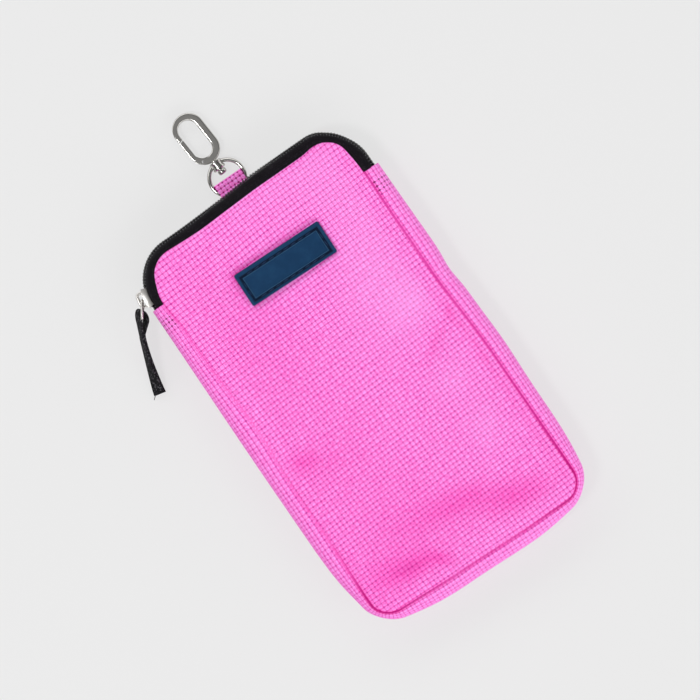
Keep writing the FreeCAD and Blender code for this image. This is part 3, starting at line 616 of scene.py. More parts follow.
def weave_height(u, v):
    """The weave's height at a place in cells: 0 in a hole, 1 on top of a yarn."""
    a = math.sin(math.pi * (u % 1))
    b = math.sin(math.pi * (v % 1))
    level = (math.floor(u) + math.floor(v)) % 2
    along, across = (a, b) if level else (b, a)
    return WEAVE_BODY * (a + b) + WEAVE_CROWN * math.sqrt(along) * across


def raise_weave(bm, cells, relief):
    """Lifts the yarns of a sheet along its normals, with the holes left at its own level."""
    bm.normal_update()
    moves = [vertex.normal * relief * (weave_height(*vertex[cells][:2]) - 1) for vertex in bm.verts]
    for vertex, move in zip(bm.verts, moves):
        vertex.co += move


def wrapped_sheet(columns, rows, place):
    """A grid put by its shares along and across; place gives a point, its cells and how deep its tone is."""
    bm = bmesh.new()
    bmesh.ops.create_grid(bm, x_segments=columns, y_segments=rows, size=0.5)
    cells = bm.verts.layers.float_vector.new("cells")
    tone = bm.verts.layers.float.new("tone")
    for vertex in bm.verts:
        along = vertex.co.x + 0.5
        across = vertex.co.y + 0.5
        vertex.co, vertex[cells], vertex[tone] = place(along, across)
    return bm, cells


def cut_off(bm, near, point, outward):
    """Cuts away what lies past a line, among the faces near a place."""
    faces = [face for face in bm.faces if near(face.calc_center_bounds())]
    edges = {edge for face in faces for edge in face.edges}
    vertices = {vertex for face in faces for vertex in face.verts}
    bmesh.ops.bisect_plane(
        bm,
        geom=[*vertices, *edges, *faces],
        dist=1e-7,
        plane_co=point,
        plane_no=outward,
        clear_outer=True,
    )


def cut_to_seam(bm):
    """Cuts a flat grid to the panels' rounded outline."""
    for side in (-1, 1):
        cut_off(bm, lambda spot: True, (side * HALF_WIDTH, 0, 0), (side, 0, 0))
        cut_off(bm, lambda spot: True, (0, side * HALF_HEIGHT, 0), (0, side, 0))
    for side in (-1, 1):
        for end, corner in ((1, TOP_CORNER), (-1, BOTTOM_CORNER)):
            centre = Vector((side * (HALF_WIDTH - corner), end * (HALF_HEIGHT - corner), 0))

            def near(spot, centre=centre, side=side, end=end):
                return (spot.x - centre.x) * side > -CELL_X and (spot.y - centre.y) * end > -CELL_Y

            for cut in range(CORNER_CUTS):
                angle = math.pi / 2 * (cut + 0.5) / CORNER_CUTS
                outward = Vector((side * math.cos(angle), end * math.sin(angle), 0))
                cut_off(bm, near, centre + outward * corner, outward)


def woven_panel(folds, facing):
    """A panel of the weave, cut to the seam and folded by a function, facing up or down."""
    columns = math.ceil(2 * CUT_SPARE * HALF_WIDTH / CELL_X)
    rows = math.ceil(2 * CUT_SPARE * HALF_HEIGHT / CELL_Y)

    def place(along, across):
        u = columns * (along - 0.5)
        v = rows * (across - 0.5)
        return Vector((u * CELL_X, v * CELL_Y, 0)), Vector((*wobbled(u, v), 0)), 0.0

    bm, cells = wrapped_sheet(columns * PANEL_STEPS, rows * PANEL_STEPS, place)
    bmesh.ops.rotate(bm, cent=(0, 0, 0), matrix=Matrix.Rotation(WEAVE_TILT, 3, "Z"), verts=bm.verts)
    cut_to_seam(bm)
    shape_panel(bm, folds)
    raise_weave(bm, cells, RELIEF)
    close_inside(bm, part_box("front_panel")[0].z - MM)
    if facing < 0:
        turn_over(bm)
    return bm


def shape_panel(bm, folds):
    """Gives a flat panel its heights and its tones of painted light and shade, and settles it into the seam.
    """
    tone = bm.verts.layers.float["tone"]
    for vertex in bm.verts:
        x, y = vertex.co.x, vertex.co.y
        inset = max(0.0, seam_inset(x, y))
        lift = folds(x, y) * fade(inset, 0, 4)
        groove = bell(inset, GROOVE_WIDE)
        shoulder = SHOULDER_DEEP * math.exp(-inset / SHOULDER_WIDE)
        spot = settled(x, y)
        scallop = 1 - fade(inset, 0, 1)
        beside_zip = fade(y - ZIP_END_RIGHT, 0, 6)
        spot.y += beside_zip * (EDGE_RISE + EDGE_SCALLOP * scallop * math.cos(2 * math.pi * x / CELL_X))
        dip = label_dip(x, y) if folds is front_folds else 0.0
        vertex.co = Vector((*spot, FRONT + lift - seam_depth(y) * groove - shoulder - LABEL_DIP * dip))
        # Painted shade in the seam's groove and just above the label, and painted light and shade that follow
        # the folds' heights
        seam = seam_shade(x, y) * groove * (1 - beside_zip)
        shaded = dip * smooth_step(LABEL_LOW.y + 2 * MM, LABEL_HIGH.y, y)
        vertex[tone] = FOLD_LIGHT_AND_SHADE * lift + painted_light_and_shade(x, y) + seam - shaded


def close_inside(bm, level):
    """Gives a panel a plain inner wall."""
    rim = [edge for edge in bm.edges if edge.is_boundary]
    grown = bmesh.ops.extrude_edge_only(bm, edges=rim)["geom"]
    for vertex in (part for part in grown if isinstance(part, bmesh.types.BMVert)):
        vertex.co.z = min(vertex.co.z - WALL_DEEP, level)
    bmesh.ops.edgeloop_fill(bm, edges=[edge for edge in bm.edges if edge.is_boundary])
    bmesh.ops.recalc_face_normals(bm, faces=bm.faces)


def turn_over(bm):
    """Makes a front panel a back one: mirrored in depth, with its faces turned out again."""
    bmesh.ops.scale(bm, vec=(1, 1, -1), verts=bm.verts)
    bmesh.ops.translate(bm, vec=(0, 0, FRONT), verts=bm.verts)
    bmesh.ops.reverse_faces(bm, faces=bm.faces)


def fold_height(fold, x, y):
    middle_x, middle_y, direction, long, wide, high = fold
    turn = math.radians(direction)
    dx = x / MM - middle_x
    dy = y / MM - middle_y
    along = dx * math.cos(turn) + dy * math.sin(turn)
    across = dy * math.cos(turn) - dx * math.sin(turn)
    return high * MM * bell(along, long) * bell(across, wide)


def front_folds(x, y):
    folds = sum(fold_height(fold, x, y) for fold in FRONT_FOLDS)
    return folds + RIPPLE * noise.noise(Vector((x / RIPPLE_LENGTH, y / RIPPLE_LENGTH, 3.7)))


def back_folds(x, y):
    """The back lies flat but for a slight hollow."""
    return -BACK_HOLLOW * hump(x, 0, 30) * hump(y, 0, 60)


def gusset_bulge(seam, distance, line, out):
    """How far the gusset stands outside the seam at a place of its walk."""
    side = seam.x / HALF_WIDTH
    height = smooth_step(HALF_HEIGHT, -0.2 * HALF_HEIGHT, seam.y)
    bulge = GUSSET_TOP_BULGE + (GUSSET_LOW_BULGE - GUSSET_TOP_BULGE) * height
    along_bottom = smooth_step(BOTTOM_CORNER - HALF_HEIGHT, -HALF_HEIGHT, seam.y)
    bulge += (BOTTOM_BULGE - bulge) * along_bottom
    arc = line.arc(out)
    left = line.runs[0] + arc / 2
    right = left + arc + line.runs[1]
    bulge -= CORNER_PINCH_LEFT * bell(distance - left + CORNER_PINCH_BEFORE, CORNER_PINCH_LONG)
    bulge -= CORNER_PINCH_RIGHT * bell(distance - right, CORNER_PINCH_LONG)
    if side > 0:
        bulge -= NOTCH_DEEP * bell(seam.y - NOTCH_Y, NOTCH_LONG)
        bulge += SWELL * bell(seam.y - SWELL_Y, SWELL_LONG)
    else:
        bulge += LEFT_SWELL * fade(seam.y, -75, -45)
    return bulge - zip_spread(*seam) - math.copysign(1, side) * seam_shift(*seam)


def gusset_section(count):
    """The bulge's evenly spaced points, as shares of its reach out and of half its depth."""
    power = 2 / GUSSET_SQUARENESS
    chain = [(-GUSSET_TUCK, MID_DEPTH - GUSSET_TUCK / 2)]
    for step in range(181):
        angle = math.radians(90 - step)
        reach = math.cos(angle) ** power if step % 180 else 0.0
        chain.append((BOTTOM_BULGE * reach, MID_DEPTH * math.copysign(abs(math.sin(angle)) ** power, angle)))
    chain.append((-GUSSET_TUCK, GUSSET_TUCK / 2 - MID_DEPTH))
    points, length = even_points(chain, count)
    return [(point.x / BOTTOM_BULGE, point.y / MID_DEPTH) for point in points], length


def build_gusset(material):
    line = gusset_line()
    out = CUT_SHARE * BOTTOM_BULGE
    long = line.length(out)
    columns = round(long / CELL_X)
    section, wide = gusset_section(round(gusset_section(1)[1] / CELL_Y) * GUSSET_STEPS)
    rows = len(section) - 1
    half_depth = MID_DEPTH - GUSSET_SINK

    def place(along, across):
        distance = along * long
        seam, outward = line.at(distance, out)
        reach, level = section[round(across * rows)]
        bulge = gusset_bulge(seam, distance, line, out)
        spot = settled(*seam) + outward * bulge * reach
        groove = bell(reach * bulge, GROOVE_WIDE) if abs(level) > 0.5 else 0.0
        height = half_depth * level - seam_depth(seam.y) * groove * math.copysign(1, level)
        from_end = min(distance, long - distance)
        shade = fade(from_end - TAIL_SHADE_FROM, -1, 1) * fade(from_end - TAIL_SHADE_TO, 1, -1)
        place_in_cells = wobbled(along * columns, across * wide / CELL_Y)
        # Painted shade in the seam's groove, and painted light along the bottom and on the right side's outer
        # face
        tone = seam_shade(*seam) * groove + GUSSET_TONE + GUSSET_PAINTED_LIGHT_LOW * fade(seam.y, -80, -88)
        tone += GUSSET_PAINTED_LIGHT_RIGHT * reach * smooth_step(0, HALF_WIDTH, seam.x)
        return Vector((*spot, MID_DEPTH + height)), Vector((*place_in_cells, shade)), tone

    bm, cells = wrapped_sheet(columns * GUSSET_STEPS, rows, place)
    bmesh.ops.reverse_faces(bm, faces=bm.faces)
    raise_weave(bm, cells, RELIEF)
    piece = make_piece("gusset", bm, material)
    thicken(piece, FABRIC)
    return dress(piece, "pouch", "pink_weave", "gusset_strip")


def build_panels(material):
    sides = (("front_cloth", front_folds, 1, "front_panel"), ("back_cloth", back_folds, -1, "back_panel"))
    for name, folds, facing, node in sides:
        piece = make_piece(name, woven_panel(folds, facing), material)
        dress(piece, "pouch", "pink_weave", node)


def build_tab(material):
    """The folded strip round the ring's wire, which bends where the ring swings."""
    middle = (TAB_LOW + TAB_HIGH) / 2
    radius = (TAB_HIGH.z - TAB_LOW.z) / 2
    fold = TAB_HIGH.y + TAB_RISE - radius
    root = TAB_LOW.y - TAB_ROOT
    upper = TAB_LOW.z + 2 * FABRIC
    chain = [(root, TAB_LOW.z), (fold, TAB_LOW.z)]
    chain += arc_points((fold, middle.z), radius, -90, 90, 12)
    chain += [(TAB_LOW.y + TAB_SLOPE_TOP, TAB_HIGH.z), (TAB_LOW.y + TAB_SLOPE_FOOT, upper), (root, upper)]
    long = even_points(chain, 1)[1]
    columns = round(long / CELL_Y) * PANEL_STEPS
    points = even_points(chain, columns)[0]
    rows = round(2 * TAB_HALF_WIDE / CELL_X) * PANEL_STEPS

    def place(along, across):
        y, z = points[round(along * columns)]
        u = (across - 0.5) * 2 * TAB_HALF_WIDE / CELL_X
        x = middle.x + (across - 0.5) * 2 * TAB_HALF_WIDE
        return Vector((x, y, z)), Vector((u + 0.5, along * long / CELL_Y, TAB_HOLE_SHADE)), 0.0

    bm, cells = wrapped_sheet(columns, rows, place)
    raise_weave(bm, cells, RELIEF)
    piece = make_piece("tab_cloth", bm, material)
    thicken(piece, TAB_THICK)
    pivot = joint_spot("ring_swing")
    start = pivot - Vector((0, TAB_BEND_BELOW, 0))
    end = pivot + Vector((0, TAB_BEND_ABOVE, 0))
    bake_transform(piece, "pouch", "ring", start=start, end=end)
    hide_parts("hanging_tab")
    return piece


def seam_loop():
    """Points all the way round the panels' seam, with their outward directions."""
    found = []
    for side, end, first in ((1, 1, 0), (-1, 1, 90), (-1, -1, 180), (1, -1, 270)):
        corner = TOP_CORNER if end > 0 else BOTTOM_CORNER
        centre = Vector((side * (HALF_WIDTH - corner), end * (HALF_HEIGHT - corner)))
        for step in range(BINDING_CORNER_STEPS + 1):
            angle = math.radians(first + 90 * step / BINDING_CORNER_STEPS)
            outward = Vector((math.cos(angle), math.sin(angle)))
            found.append((centre + outward * corner, outward))
    walked = []
    for (here, outward), (there, _) in zip(found, found[1:] + found[:1]):
        legs = max(1, round((there - here).length / BINDING_STEP))
        walked += [(here.lerp(there, leg / legs), outward) for leg in range(legs)]
    return walked


def build_bindings(material):
    """The bound seam allowances, a soft band inside each seam."""
    for name, deeper in (("front_seam_binding", -BINDING_DEEP), ("back_seam_binding", BINDING_DEEP)):
        low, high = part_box(name)
        level = (low.z + high.z) / 2 + deeper
        stations = []
        for seam, outward in seam_loop():
            point = settled(*seam) - outward * BINDING_IN
            stations.append((Vector((*point, level)), Vector((*outward, 0)), Vector((0, 0, 1))))
        ring = rounded_ring(BINDING_HALF_WIDE, (high.z - low.z) / 2, BINDING_ROUND)
        bm = swept(stations, ring, closed=True)
        dress(make_piece(name.replace("seam", "inner"), bm, material), "pouch", "binding", name)


# Zip


def tape_chain(seam_level, side):
    """Half of the zip's tape, from its seam round to the coil, as (out, height) points."""
    bend = seam_level - side * TAPE_ROUND
    first, last = (90, 0) if side > 0 else (-90, 0)
    chain = [(-TAPE_UNDER, seam_level)]
    chain += arc_points((TAPE_OUT - TAPE_ROUND, bend), TAPE_ROUND, first, last, 10)
    chain.append((TAPE_OUT, MID_DEPTH + side * (TAPE_EDGE + TAPE_LIP)))
    chain.append((TAPE_OUT + TAPE_LIP, MID_DEPTH + side * TAPE_EDGE))
    return chain


def zip_reach(x, y, level):
    """How much further out the zip stands than it is sewn: more on top, less round its right corner."""
    top = ZIP_REACH_TOP * fade(x, -8, 10) - ring_room(x, level)
    top *= fade(y - HALF_HEIGHT, -2, 0)
    corner = CORNER_SLIP * hump(y, 79, 4.5) - ZIP_CORNER_DRAW * hump(y, 82.5, 4.5)
    return top + corner * fade(x, 38, 44) - zip_spread(x, y)


def ring_room(x, level):
    """How far the zip's back half is drawn in beside the tab, which leaves the ring room to swing up."""
    near = bell(x - RING_ROOM_X, RING_ROOM_LONG)
    return RING_ROOM * near * smooth_step(0, RING_ROOM_DEEP, MID_DEPTH - level)


def zip_rise(seam):
    """How far the zip's middle line rolls up to the front, past its right corner."""
    return ZIP_RISE * smooth_step(10 * MM, HALF_WIDTH, seam.x)


def build_tape(name, side, material):
    line = zip_line(TAPE_TAIL)
    out = CUT_SHARE * TAPE_OUT
    long = line.length(out)
    node = "zip_" + name
    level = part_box(node)[1].z if side > 0 else GUSSET_SINK + FABRIC / 2
    points, wide = even_points(tape_chain(level, side), TAPE_ROWS)
    tab_top = TAB_LOW.z + 2 * FABRIC + TAPE_OVER_TAB

    def place(along, across):
        distance = along * long
        seam, outward = line.at(distance, out)
        reach, height = points[round(across * TAPE_ROWS)]
        from_end = min(distance, long - distance) - TAPE_TAIL
        tucked = fade(from_end, 0.5, -3)
        height = MID_DEPTH + (height - MID_DEPTH) * (1 - TAPE_TUCK_FLAT * tucked)
        reach -= TAPE_TUCK_IN * tucked
        if side < 0 and seam.y > HALF_HEIGHT - TOP_CORNER:
            past_tab = abs(seam.x - (TAB_LOW.x + TAB_HIGH.x) / 2) - TAB_HALF_WIDE
            height = max(height, level + (tab_top - level) * smooth_step(TAPE_BESIDE_TAB, 0, past_tab))
        height += zip_rise(seam) * reach / TAPE_OUT
        spot = settled(*seam) + outward * reach * (1 + zip_reach(*seam, height) / TAPE_OUT)
        return Vector((*spot, height)), Vector((distance / MM, across * wide / MM, 0)), 0.0

    bm, _ = wrapped_sheet(round(long / MM), TAPE_ROWS, place)
    if side < 0:
        bmesh.ops.reverse_faces(bm, faces=bm.faces)
    piece = make_piece(name, bm, material)
    thicken(piece, TAPE_THICK)
    return dress(piece, "pouch", "zip_tape", node)


def wire_mesh(name, points, radius, material):
    """A round wire along points."""
    curve = bpy.data.curves.new(name, "CURVE")
    curve.dimensions = "3D"
    curve.bevel_depth = radius
    curve.bevel_resolution = 1
    curve.use_fill_caps = True
    spline = curve.splines.new("POLY")
    spline.points.add(len(points) - 1)
    for target, point in zip(spline.points, points):
        target.co = (*point, 1)
    line = bpy.data.objects.new(name, curve)
    mesh = bpy.data.meshes.new_from_object(line)
    bpy.data.objects.remove(line)
    bpy.data.curves.remove(curve)
    bm = bmesh.new()
    bm.from_mesh(mesh)
    bpy.data.meshes.remove(mesh)
    return make_piece(name, bm, material)


def coil_walk():
    """The walk along the coils, how far out it runs, its length and how many turns it holds."""
    line = zip_line(COIL_TUCK)
    out = (TAPE_OUT + COIL_OUT) / 2
    long = line.length(out)
    return line, out, long, int(long / COIL_PITCH)


def build_coil(name, side, material):
    """Half of the coil: a flattened spring that runs along the tape's edge."""
    line, out, long, turns = coil_walk()
    high = (COIL_OUT - TAPE_OUT) / 2 - COIL_WIRE
    wide = COIL_WIDE / 2 - COIL_WIRE
    points = []
    for step in range(turns * COIL_STEPS + 1):
        distance = long * step / (turns * COIL_STEPS)
        angle = 2 * math.pi * (step / COIL_STEPS + (0.25 if side > 0 else 0.75))
        seam, outward = line.at(distance, out)
        level = MID_DEPTH + zip_rise(seam) + side * (COIL_MEET + COIL_WIDE / 2 + wide * math.cos(angle))
        spot = settled(*seam) + outward * (out + zip_reach(*seam, level) + high * math.sin(angle))
        points.append((*spot, level))
    piece = wire_mesh(name, points, COIL_WIRE, material)
    return dress(piece, "pouch", "zip_coil", "zip_" + name)


def build_coil_stitches(material):
    """The stitches that hold both halves of the coil to the tapes, one over each turn's shoulder; their pale
    grey is partly painted highlight for the glints on the coil's turns.
    """
    line, out, long, turns = coil_walk()
    stitches = []
    for number in range(turns * 2):
        side = 1 if number < turns else -1
        seam, outward = line.at(long * (number % turns + 0.5) / turns, out)
        level = MID_DEPTH + zip_rise(seam) + side * (COIL_MEET + COIL_WIDE)
        spot = settled(*seam) + outward * (TAPE_OUT + COIL_STITCH_OUT + zip_reach(*seam, level))
        lean = Vector((*outward, -0.5 * side)).normalized()
        aside = Vector((-outward.y, outward.x, 0))
        turn = Matrix((lean, aside, lean.cross(aside))).transposed().to_4x4()
        size = Matrix.Diagonal((COIL_STITCH_LONG / 2, COIL_STITCH_RADIUS, COIL_STITCH_RADIUS, 1))
        matrix = Matrix.Translation((*spot, level)) @ turn @ size
        bm = bmesh.new()
        bmesh.ops.create_uvsphere(bm, u_segments=8, v_segments=5, radius=1, matrix=matrix)
        stitches.append(bm)
    piece = make_piece("coil_stitches", merge(*stitches), material)
    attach(piece, "pouch")
    return piece


# Swept and turned pieces


def lofted(rings, closed=False):
    """A skin drawn through rings of as many points each; a ring's point is (place, along, across)."""
    bm = bmesh.new()
    number = bm.verts.layers.int.new("number")
    along = bm.verts.layers.float.new("along")
    across = bm.verts.layers.float.new("across")

    def put(vertex, ring):
        vertex.co, vertex[along], vertex[across] = ring[vertex[number]]

    first = []
    for index in range(len(rings[0])):
        vertex = bm.verts.new()
        vertex[number] = index
        put(vertex, rings[0])
        first.append(vertex)
    start = edges = [bm.edges.new(pair) for pair in zip(first, first[1:] + first[:1])]
    for ring in rings[1:]:
        grown = bmesh.ops.extrude_edge_only(bm, edges=edges)["geom"]
        new = {part for part in grown if isinstance(part, bmesh.types.BMVert)}
        for vertex in new:
            put(vertex, ring)
        edges = [part for part in grown if isinstance(part, bmesh.types.BMEdge) and set(part.verts) <= new]
    if closed:
        bmesh.ops.bridge_loops(bm, edges=[*start, *edges])
    else:
        bmesh.ops.edgeloop_fill(bm, edges=start)
        bmesh.ops.edgeloop_fill(bm, edges=edges)
    bmesh.ops.recalc_face_normals(bm, faces=bm.faces)
    return bm


def swept(stations, ring, closed=False):
    """A skin drawn through stations; a station (point, across, up) puts ring point (a, b) at their sum."""
    rings = []
    walked = 0.0
    before = stations[0][0]
    for point, across, up in stations:
        walked += (point - before).length
        before = point
        rings.append([(point + a * across + b * up, walked / MM, b * up.length / MM) for a, b in ring])
    return lofted(rings, closed)


def turned(profile, steps, matrix, closed=False):
    """A shape turned about its own Y axis from (radius, height) points."""
    bm = bmesh.new()
    vertices = [bm.verts.new((radius, height, 0)) for radius, height in profile]
    pairs = list(zip(vertices, vertices[1:]))
    if closed:
        pairs.append((vertices[-1], vertices[0]))
    edges = [bm.edges.new(pair) for pair in pairs]
    bmesh.ops.spin(
        bm,
        geom=[*vertices, *edges],
        cent=(0, 0, 0),
        axis=(0, 1, 0),
        angle=2 * math.pi,
        steps=steps,
        use_merge=True,
    )
    bmesh.ops.remove_doubles(bm, verts=bm.verts, dist=1e-6)
    bmesh.ops.recalc_face_normals(bm, faces=bm.faces)
    bmesh.ops.transform(bm, matrix=matrix, verts=bm.verts)
    return bm


def merge(*parts):
    """One bmesh that holds several."""
    whole = bmesh.new()
    for part in parts:
        mesh = bpy.data.meshes.new("part")
        part.to_mesh(mesh)
        part.free()
        whole.from_mesh(mesh)
        bpy.data.meshes.remove(mesh)
    return whole


def softened(node, width):
    """A copy of a rigid solid with its edges rounded."""
    bm = bmesh.new()
    bm.from_mesh(frame["nodes"][node].data)
    bmesh.ops.remove_doubles(bm, verts=bm.verts, dist=1e-6)
    bmesh.ops.dissolve_limit(bm, angle_limit=math.radians(0.5), verts=bm.verts, edges=bm.edges)
    sharp = [edge for edge in bm.edges if edge.calc_face_angle(0) > math.radians(35)]
    bmesh.ops.bevel(
        bm,
        geom=sharp,
        offset=width,
        offset_type="OFFSET",
        affect="EDGES",
        segments=2,
        profile=0.5,
        material=-1,
        clamp_overlap=True,
    )
    return bm


# Label


def label_matrix():
    middle = (LABEL_LOW + LABEL_HIGH) / 2
    return Matrix.Translation((middle.x, middle.y, LABEL_LOW.z)) @ Matrix.Rotation(LABEL_TURN, 4, "Z")


def build_label(rubber):
    """A moulded patch with a rim, a sewing groove and a bead round its field.

    Its steps are inset, height and shade: 1 is painted shade, deepest in the groove, and -1 paler.
    """
    rim = LABEL_RIM / MM
    groove = rim + LABEL_GROOVE / MM
    top = LABEL_THICK / MM
    low = top - LABEL_GROOVE_DEEP / MM
    steps = (
        (0.0, 0.0, 0.6),
        (0.0, top - 0.3, 0.3),
        (0.1, top - 0.08, 0.0),
        (0.3, top, -0.2),
        (rim - 0.2, top, 0.1),
        (rim, top - 0.12, 0.7),
        (rim + 0.1, low, 1.0),
        (groove - 0.1, low, 1.0),
        (groove, top - 0.12, 0.4),
        (groove + 0.1, top, -0.9),
        (groove + 0.3, top, -0.9),
        (groove + 0.45, top - 0.15, 0.5),
        (groove + 0.7, top - 0.15, 0.0),
    )
    rings = []
    for inset, height, shade in steps:
        corner = max(LABEL_CORNER - inset * MM, LABEL_LEAST_CORNER)
        ring = rounded_ring(LABEL_HALF_WIDE - inset * MM, LABEL_HALF_TALL - inset * MM, corner, steps=4)
        lower = LABEL_GROOVE_LOWER if inset > rim - 0.5 else 0.0
        rings.append([(Vector((x, y - lower, height * MM)), 0.0, shade) for x, y in ring])
    bm = lofted(rings)
    bmesh.ops.transform(bm, matrix=label_matrix(), verts=bm.verts)
    return dress(make_piece("label_plate", bm, rubber, sharp=35), "pouch", "label_rubber", "label_patch")


def build_stitches(thread):
    """The label's stitches, each a short rounded length of thread in the groove."""
    bm = bmesh.new()
    inset = LABEL_RIM + LABEL_GROOVE / 2
    column = LABEL_HALF_WIDE - inset
    row = LABEL_HALF_TALL - inset
    level = LABEL_THICK - LABEL_GROOVE_DEEP + 0.6 * STITCH_RADIUS
    spots = []
    for half, other, turn in ((column, row, 0), (row, column, 90)):
        count = int((2 * half - STITCH_PITCH) / STITCH_PITCH)
        for number in range(count):
            place = (number - (count - 1) / 2) * STITCH_PITCH
            for side in (-1, 1):
                x, y = (place, side * other) if turn == 0 else (side * other, place)
                spots.append((x, y - LABEL_GROOVE_LOWER, turn))
    for x, y, turn in spots:
        matrix = (
            label_matrix()
            @ Matrix.Translation((x, y, level))
            @ Matrix.Rotation(math.radians(turn + STITCH_LEAN), 4, "Z")
            @ Matrix.Diagonal((STITCH_LONG / 2, STITCH_RADIUS, STITCH_RADIUS, 1))
        )
        bmesh.ops.create_uvsphere(bm, u_segments=10, v_segments=8, radius=1, matrix=matrix)
    return dress(make_piece("label_stitches", bm, thread), "pouch", "label_thread", "label_thread")


# Zip pull


def build_slider(metal):
    body = make_piece("zip_slider_body", softened("slider_body", SLIDER_ROUND), metal, sharp=40)
    dress(body, "slider", "slider_metal", "slider_body")
    bridge = make_piece("zip_slider_bridge", bridge_mesh(), metal, sharp=40)
    dress(bridge, "slider", "slider_metal", "slider_bridge")


def bridge_mesh():
    """The arch on the slider, over the puller's bar."""
    bar = joint_spot("puller_swing")
    outward = bar - Vector((TOP_CORNER - HALF_WIDTH, HALF_HEIGHT - TOP_CORNER, bar.z))
    outward.normalize()
    along = Vector((-outward.y, outward.x, 0))
    top = PULLER_WIRE + BRIDGE_CLEAR + BRIDGE_THICK / 2
    bend = BRIDGE_THICK
    walk = [(-BRIDGE_HALF_LONG, -BRIDGE_FOOT, math.pi)]
    for side, first in ((-1, 180), (1, 90)):
        for step in range(BRIDGE_STEPS + 1):
            angle = math.radians(first - 90 * step / BRIDGE_STEPS)
            x = side * (BRIDGE_HALF_LONG - bend) + bend * math.cos(angle)
            walk.append((x, top - bend + bend * math.sin(angle), angle))
    walk.append((BRIDGE_HALF_LONG, -BRIDGE_FOOT, 0.0))
    stations = []
    for x, y, angle in walk:
        facing = along * math.cos(angle) + outward * math.sin(angle)
        stations.append((bar + along * x + outward * y, facing, Vector((0, 0, 1))))
    return swept(stations, rounded_ring(BRIDGE_THICK / 2, BRIDGE_HALF_WIDE, BRIDGE_ROUND))


def build_puller(metal):
    """The closed wire loop between the slider's bridge and the strap."""
    ahead = Vector((math.cos(PULLER_HEADING), math.sin(PULLER_HEADING), 0))
    sideways = Vector((-ahead.y, ahead.x, 0))
    up = Vector((0, 0, 1))
    middle = joint_spot("puller_swing") + ahead * PULLER_LONG / 2
    stations = []
    for x, y, angle in rounded_walk(PULLER_LONG / 2, PULLER_HALF, PULLER_BEND, 6):
        outward = ahead * math.cos(angle) + up * math.sin(angle)
        stations.append((middle + ahead * x + up * y, outward, sideways))
    bm = swept(stations, round_ring(PULLER_WIRE, 12), closed=True)
    return dress(make_piece("puller_wire", bm, metal), "puller", "slider_metal", "puller_loop")


def strap_frame():
    """The strap's directions: ahead along it, sideways and up."""
    ahead = Vector((math.cos(STRAP_HEADING), math.sin(STRAP_HEADING), 0))
    return ahead, Vector((-ahead.y, ahead.x, 0)), Vector((0, 0, 1))


def strap_axes(x, frame_axes):
    """The directions through and across the webbing, which twists along its length."""
    ahead, sideways, up = frame_axes
    share = (x - STRAP_JOIN) / (STRAP_LONG - STRAP_JOIN)
    twist = STRAP_NECK_TWIST
    if share > 0:
        twist += (STRAP_END_TWIST - STRAP_NECK_TWIST) * share**STRAP_TWIST_POWER
    else:
        twist += (STRAP_LOOP_TWIST - STRAP_NECK_TWIST) * smooth_step(STRAP_JOIN, 0, x)
    flat = sideways * math.cos(twist) + up * math.sin(twist)
    wide = up * math.cos(twist) - sideways * math.sin(twist)
    return flat, wide + ahead * STRAP_LOOP_LEAN * smooth_step(STRAP_JOIN, 0, x)


def strap_bow(x, sideways):
    """How far the strap bends aside: most at its neck."""
    share = max(0.0, (x - STRAP_JOIN) / (STRAP_LONG - STRAP_JOIN))
    return sideways * STRAP_BOW * fade(x, -1, 8) * math.cos(math.pi / 2 * share) ** STRAP_BOW_POWER


def strap_station(x, offset, frame_axes):
    """A station of the webbing's straight part: x from the puller's bar, a layer's offset from the middle."""
    ahead, sideways, up = frame_axes
    share = (x - STRAP_JOIN) / (STRAP_LONG - STRAP_JOIN)
    sunk = STRAP_EVEN_FALL * share + (1 - STRAP_EVEN_FALL) * smooth_step(0, 1, share)
    fall = (MID_DEPTH - 2 * STRAP_LAYER - STRAP_REST) * sunk
    flat, wide = strap_axes(x, frame_axes)
    cut = ahead * STRAP_SLANT * smooth_step(0.8, 1, share)
    point = joint_spot("strap_swing") + ahead * x - strap_bow(x, sideways) - up * fall + flat * offset
    return point, flat, wide + cut


def strap_layer(side, frame_axes):
    """One of the strap's two layers, as stations from the loop to the cut end."""
    stations = []
    for step in range(STRAP_STEPS + 1):
        x = STRAP_JOIN + (STRAP_LONG - STRAP_JOIN) * step / STRAP_STEPS
        point, flat, wide = strap_station(x, side * STRAP_LAYER, frame_axes)
        stations.append((point, side * flat, wide))
    return stations


def build_strap(webbing):
    """One length of webbing, folded round the puller's bar, whose two layers twist flat to the table."""
    axes = strap_frame()
    ahead, sideways, _ = axes
    bar = joint_spot("strap_swing")
    stations = strap_layer(1, axes)[::-1]
    for a, b in arc_points((0, 0), 1.0, STRAP_LOOP_FROM, 360 - STRAP_LOOP_FROM, STRAP_LOOP_STEPS):
        x = STRAP_LOOP_X + STRAP_LOOP_LONG * a
        tilted, wide = strap_axes(x, axes)
        flat = Vector((a * STRAP_LOOP, b * STRAP_LOOP_LONG)).normalized()
        point = bar + ahead * x + tilted * STRAP_LOOP * b - strap_bow(x, sideways)
        stations.append((point, ahead * flat.x + tilted * flat.y, wide))
    stations += strap_layer(-1, axes)
    bm = swept(stations, rounded_ring(STRAP_HALF_THICK, STRAP_HALF_WIDE, STRAP_ROUND))
    return dress(make_piece("pull_webbing", bm, webbing, sharp=50), "strap", "webbing", "pull_strap")


def build_loose_thread(webbing):
    """A frayed thread at the strap's cut end."""
    middle, _, wide = strap_station(STRAP_LONG, 0, strap_frame())
    start = min((middle + side * STRAP_HALF_WIDE * wide for side in (-1, 1)), key=lambda corner: corner.x)
    points = []
    for step in range(THREAD_STEPS + 1):
        share = step / THREAD_STEPS
        points.append(start + THREAD_FROM + THREAD_REACH * share + THREAD_CURL * math.sin(4 * share))
    piece = wire_mesh("loose_thread", points, THREAD_RADIUS, webbing)
    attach(piece, "strap")
    return piece


# Clip


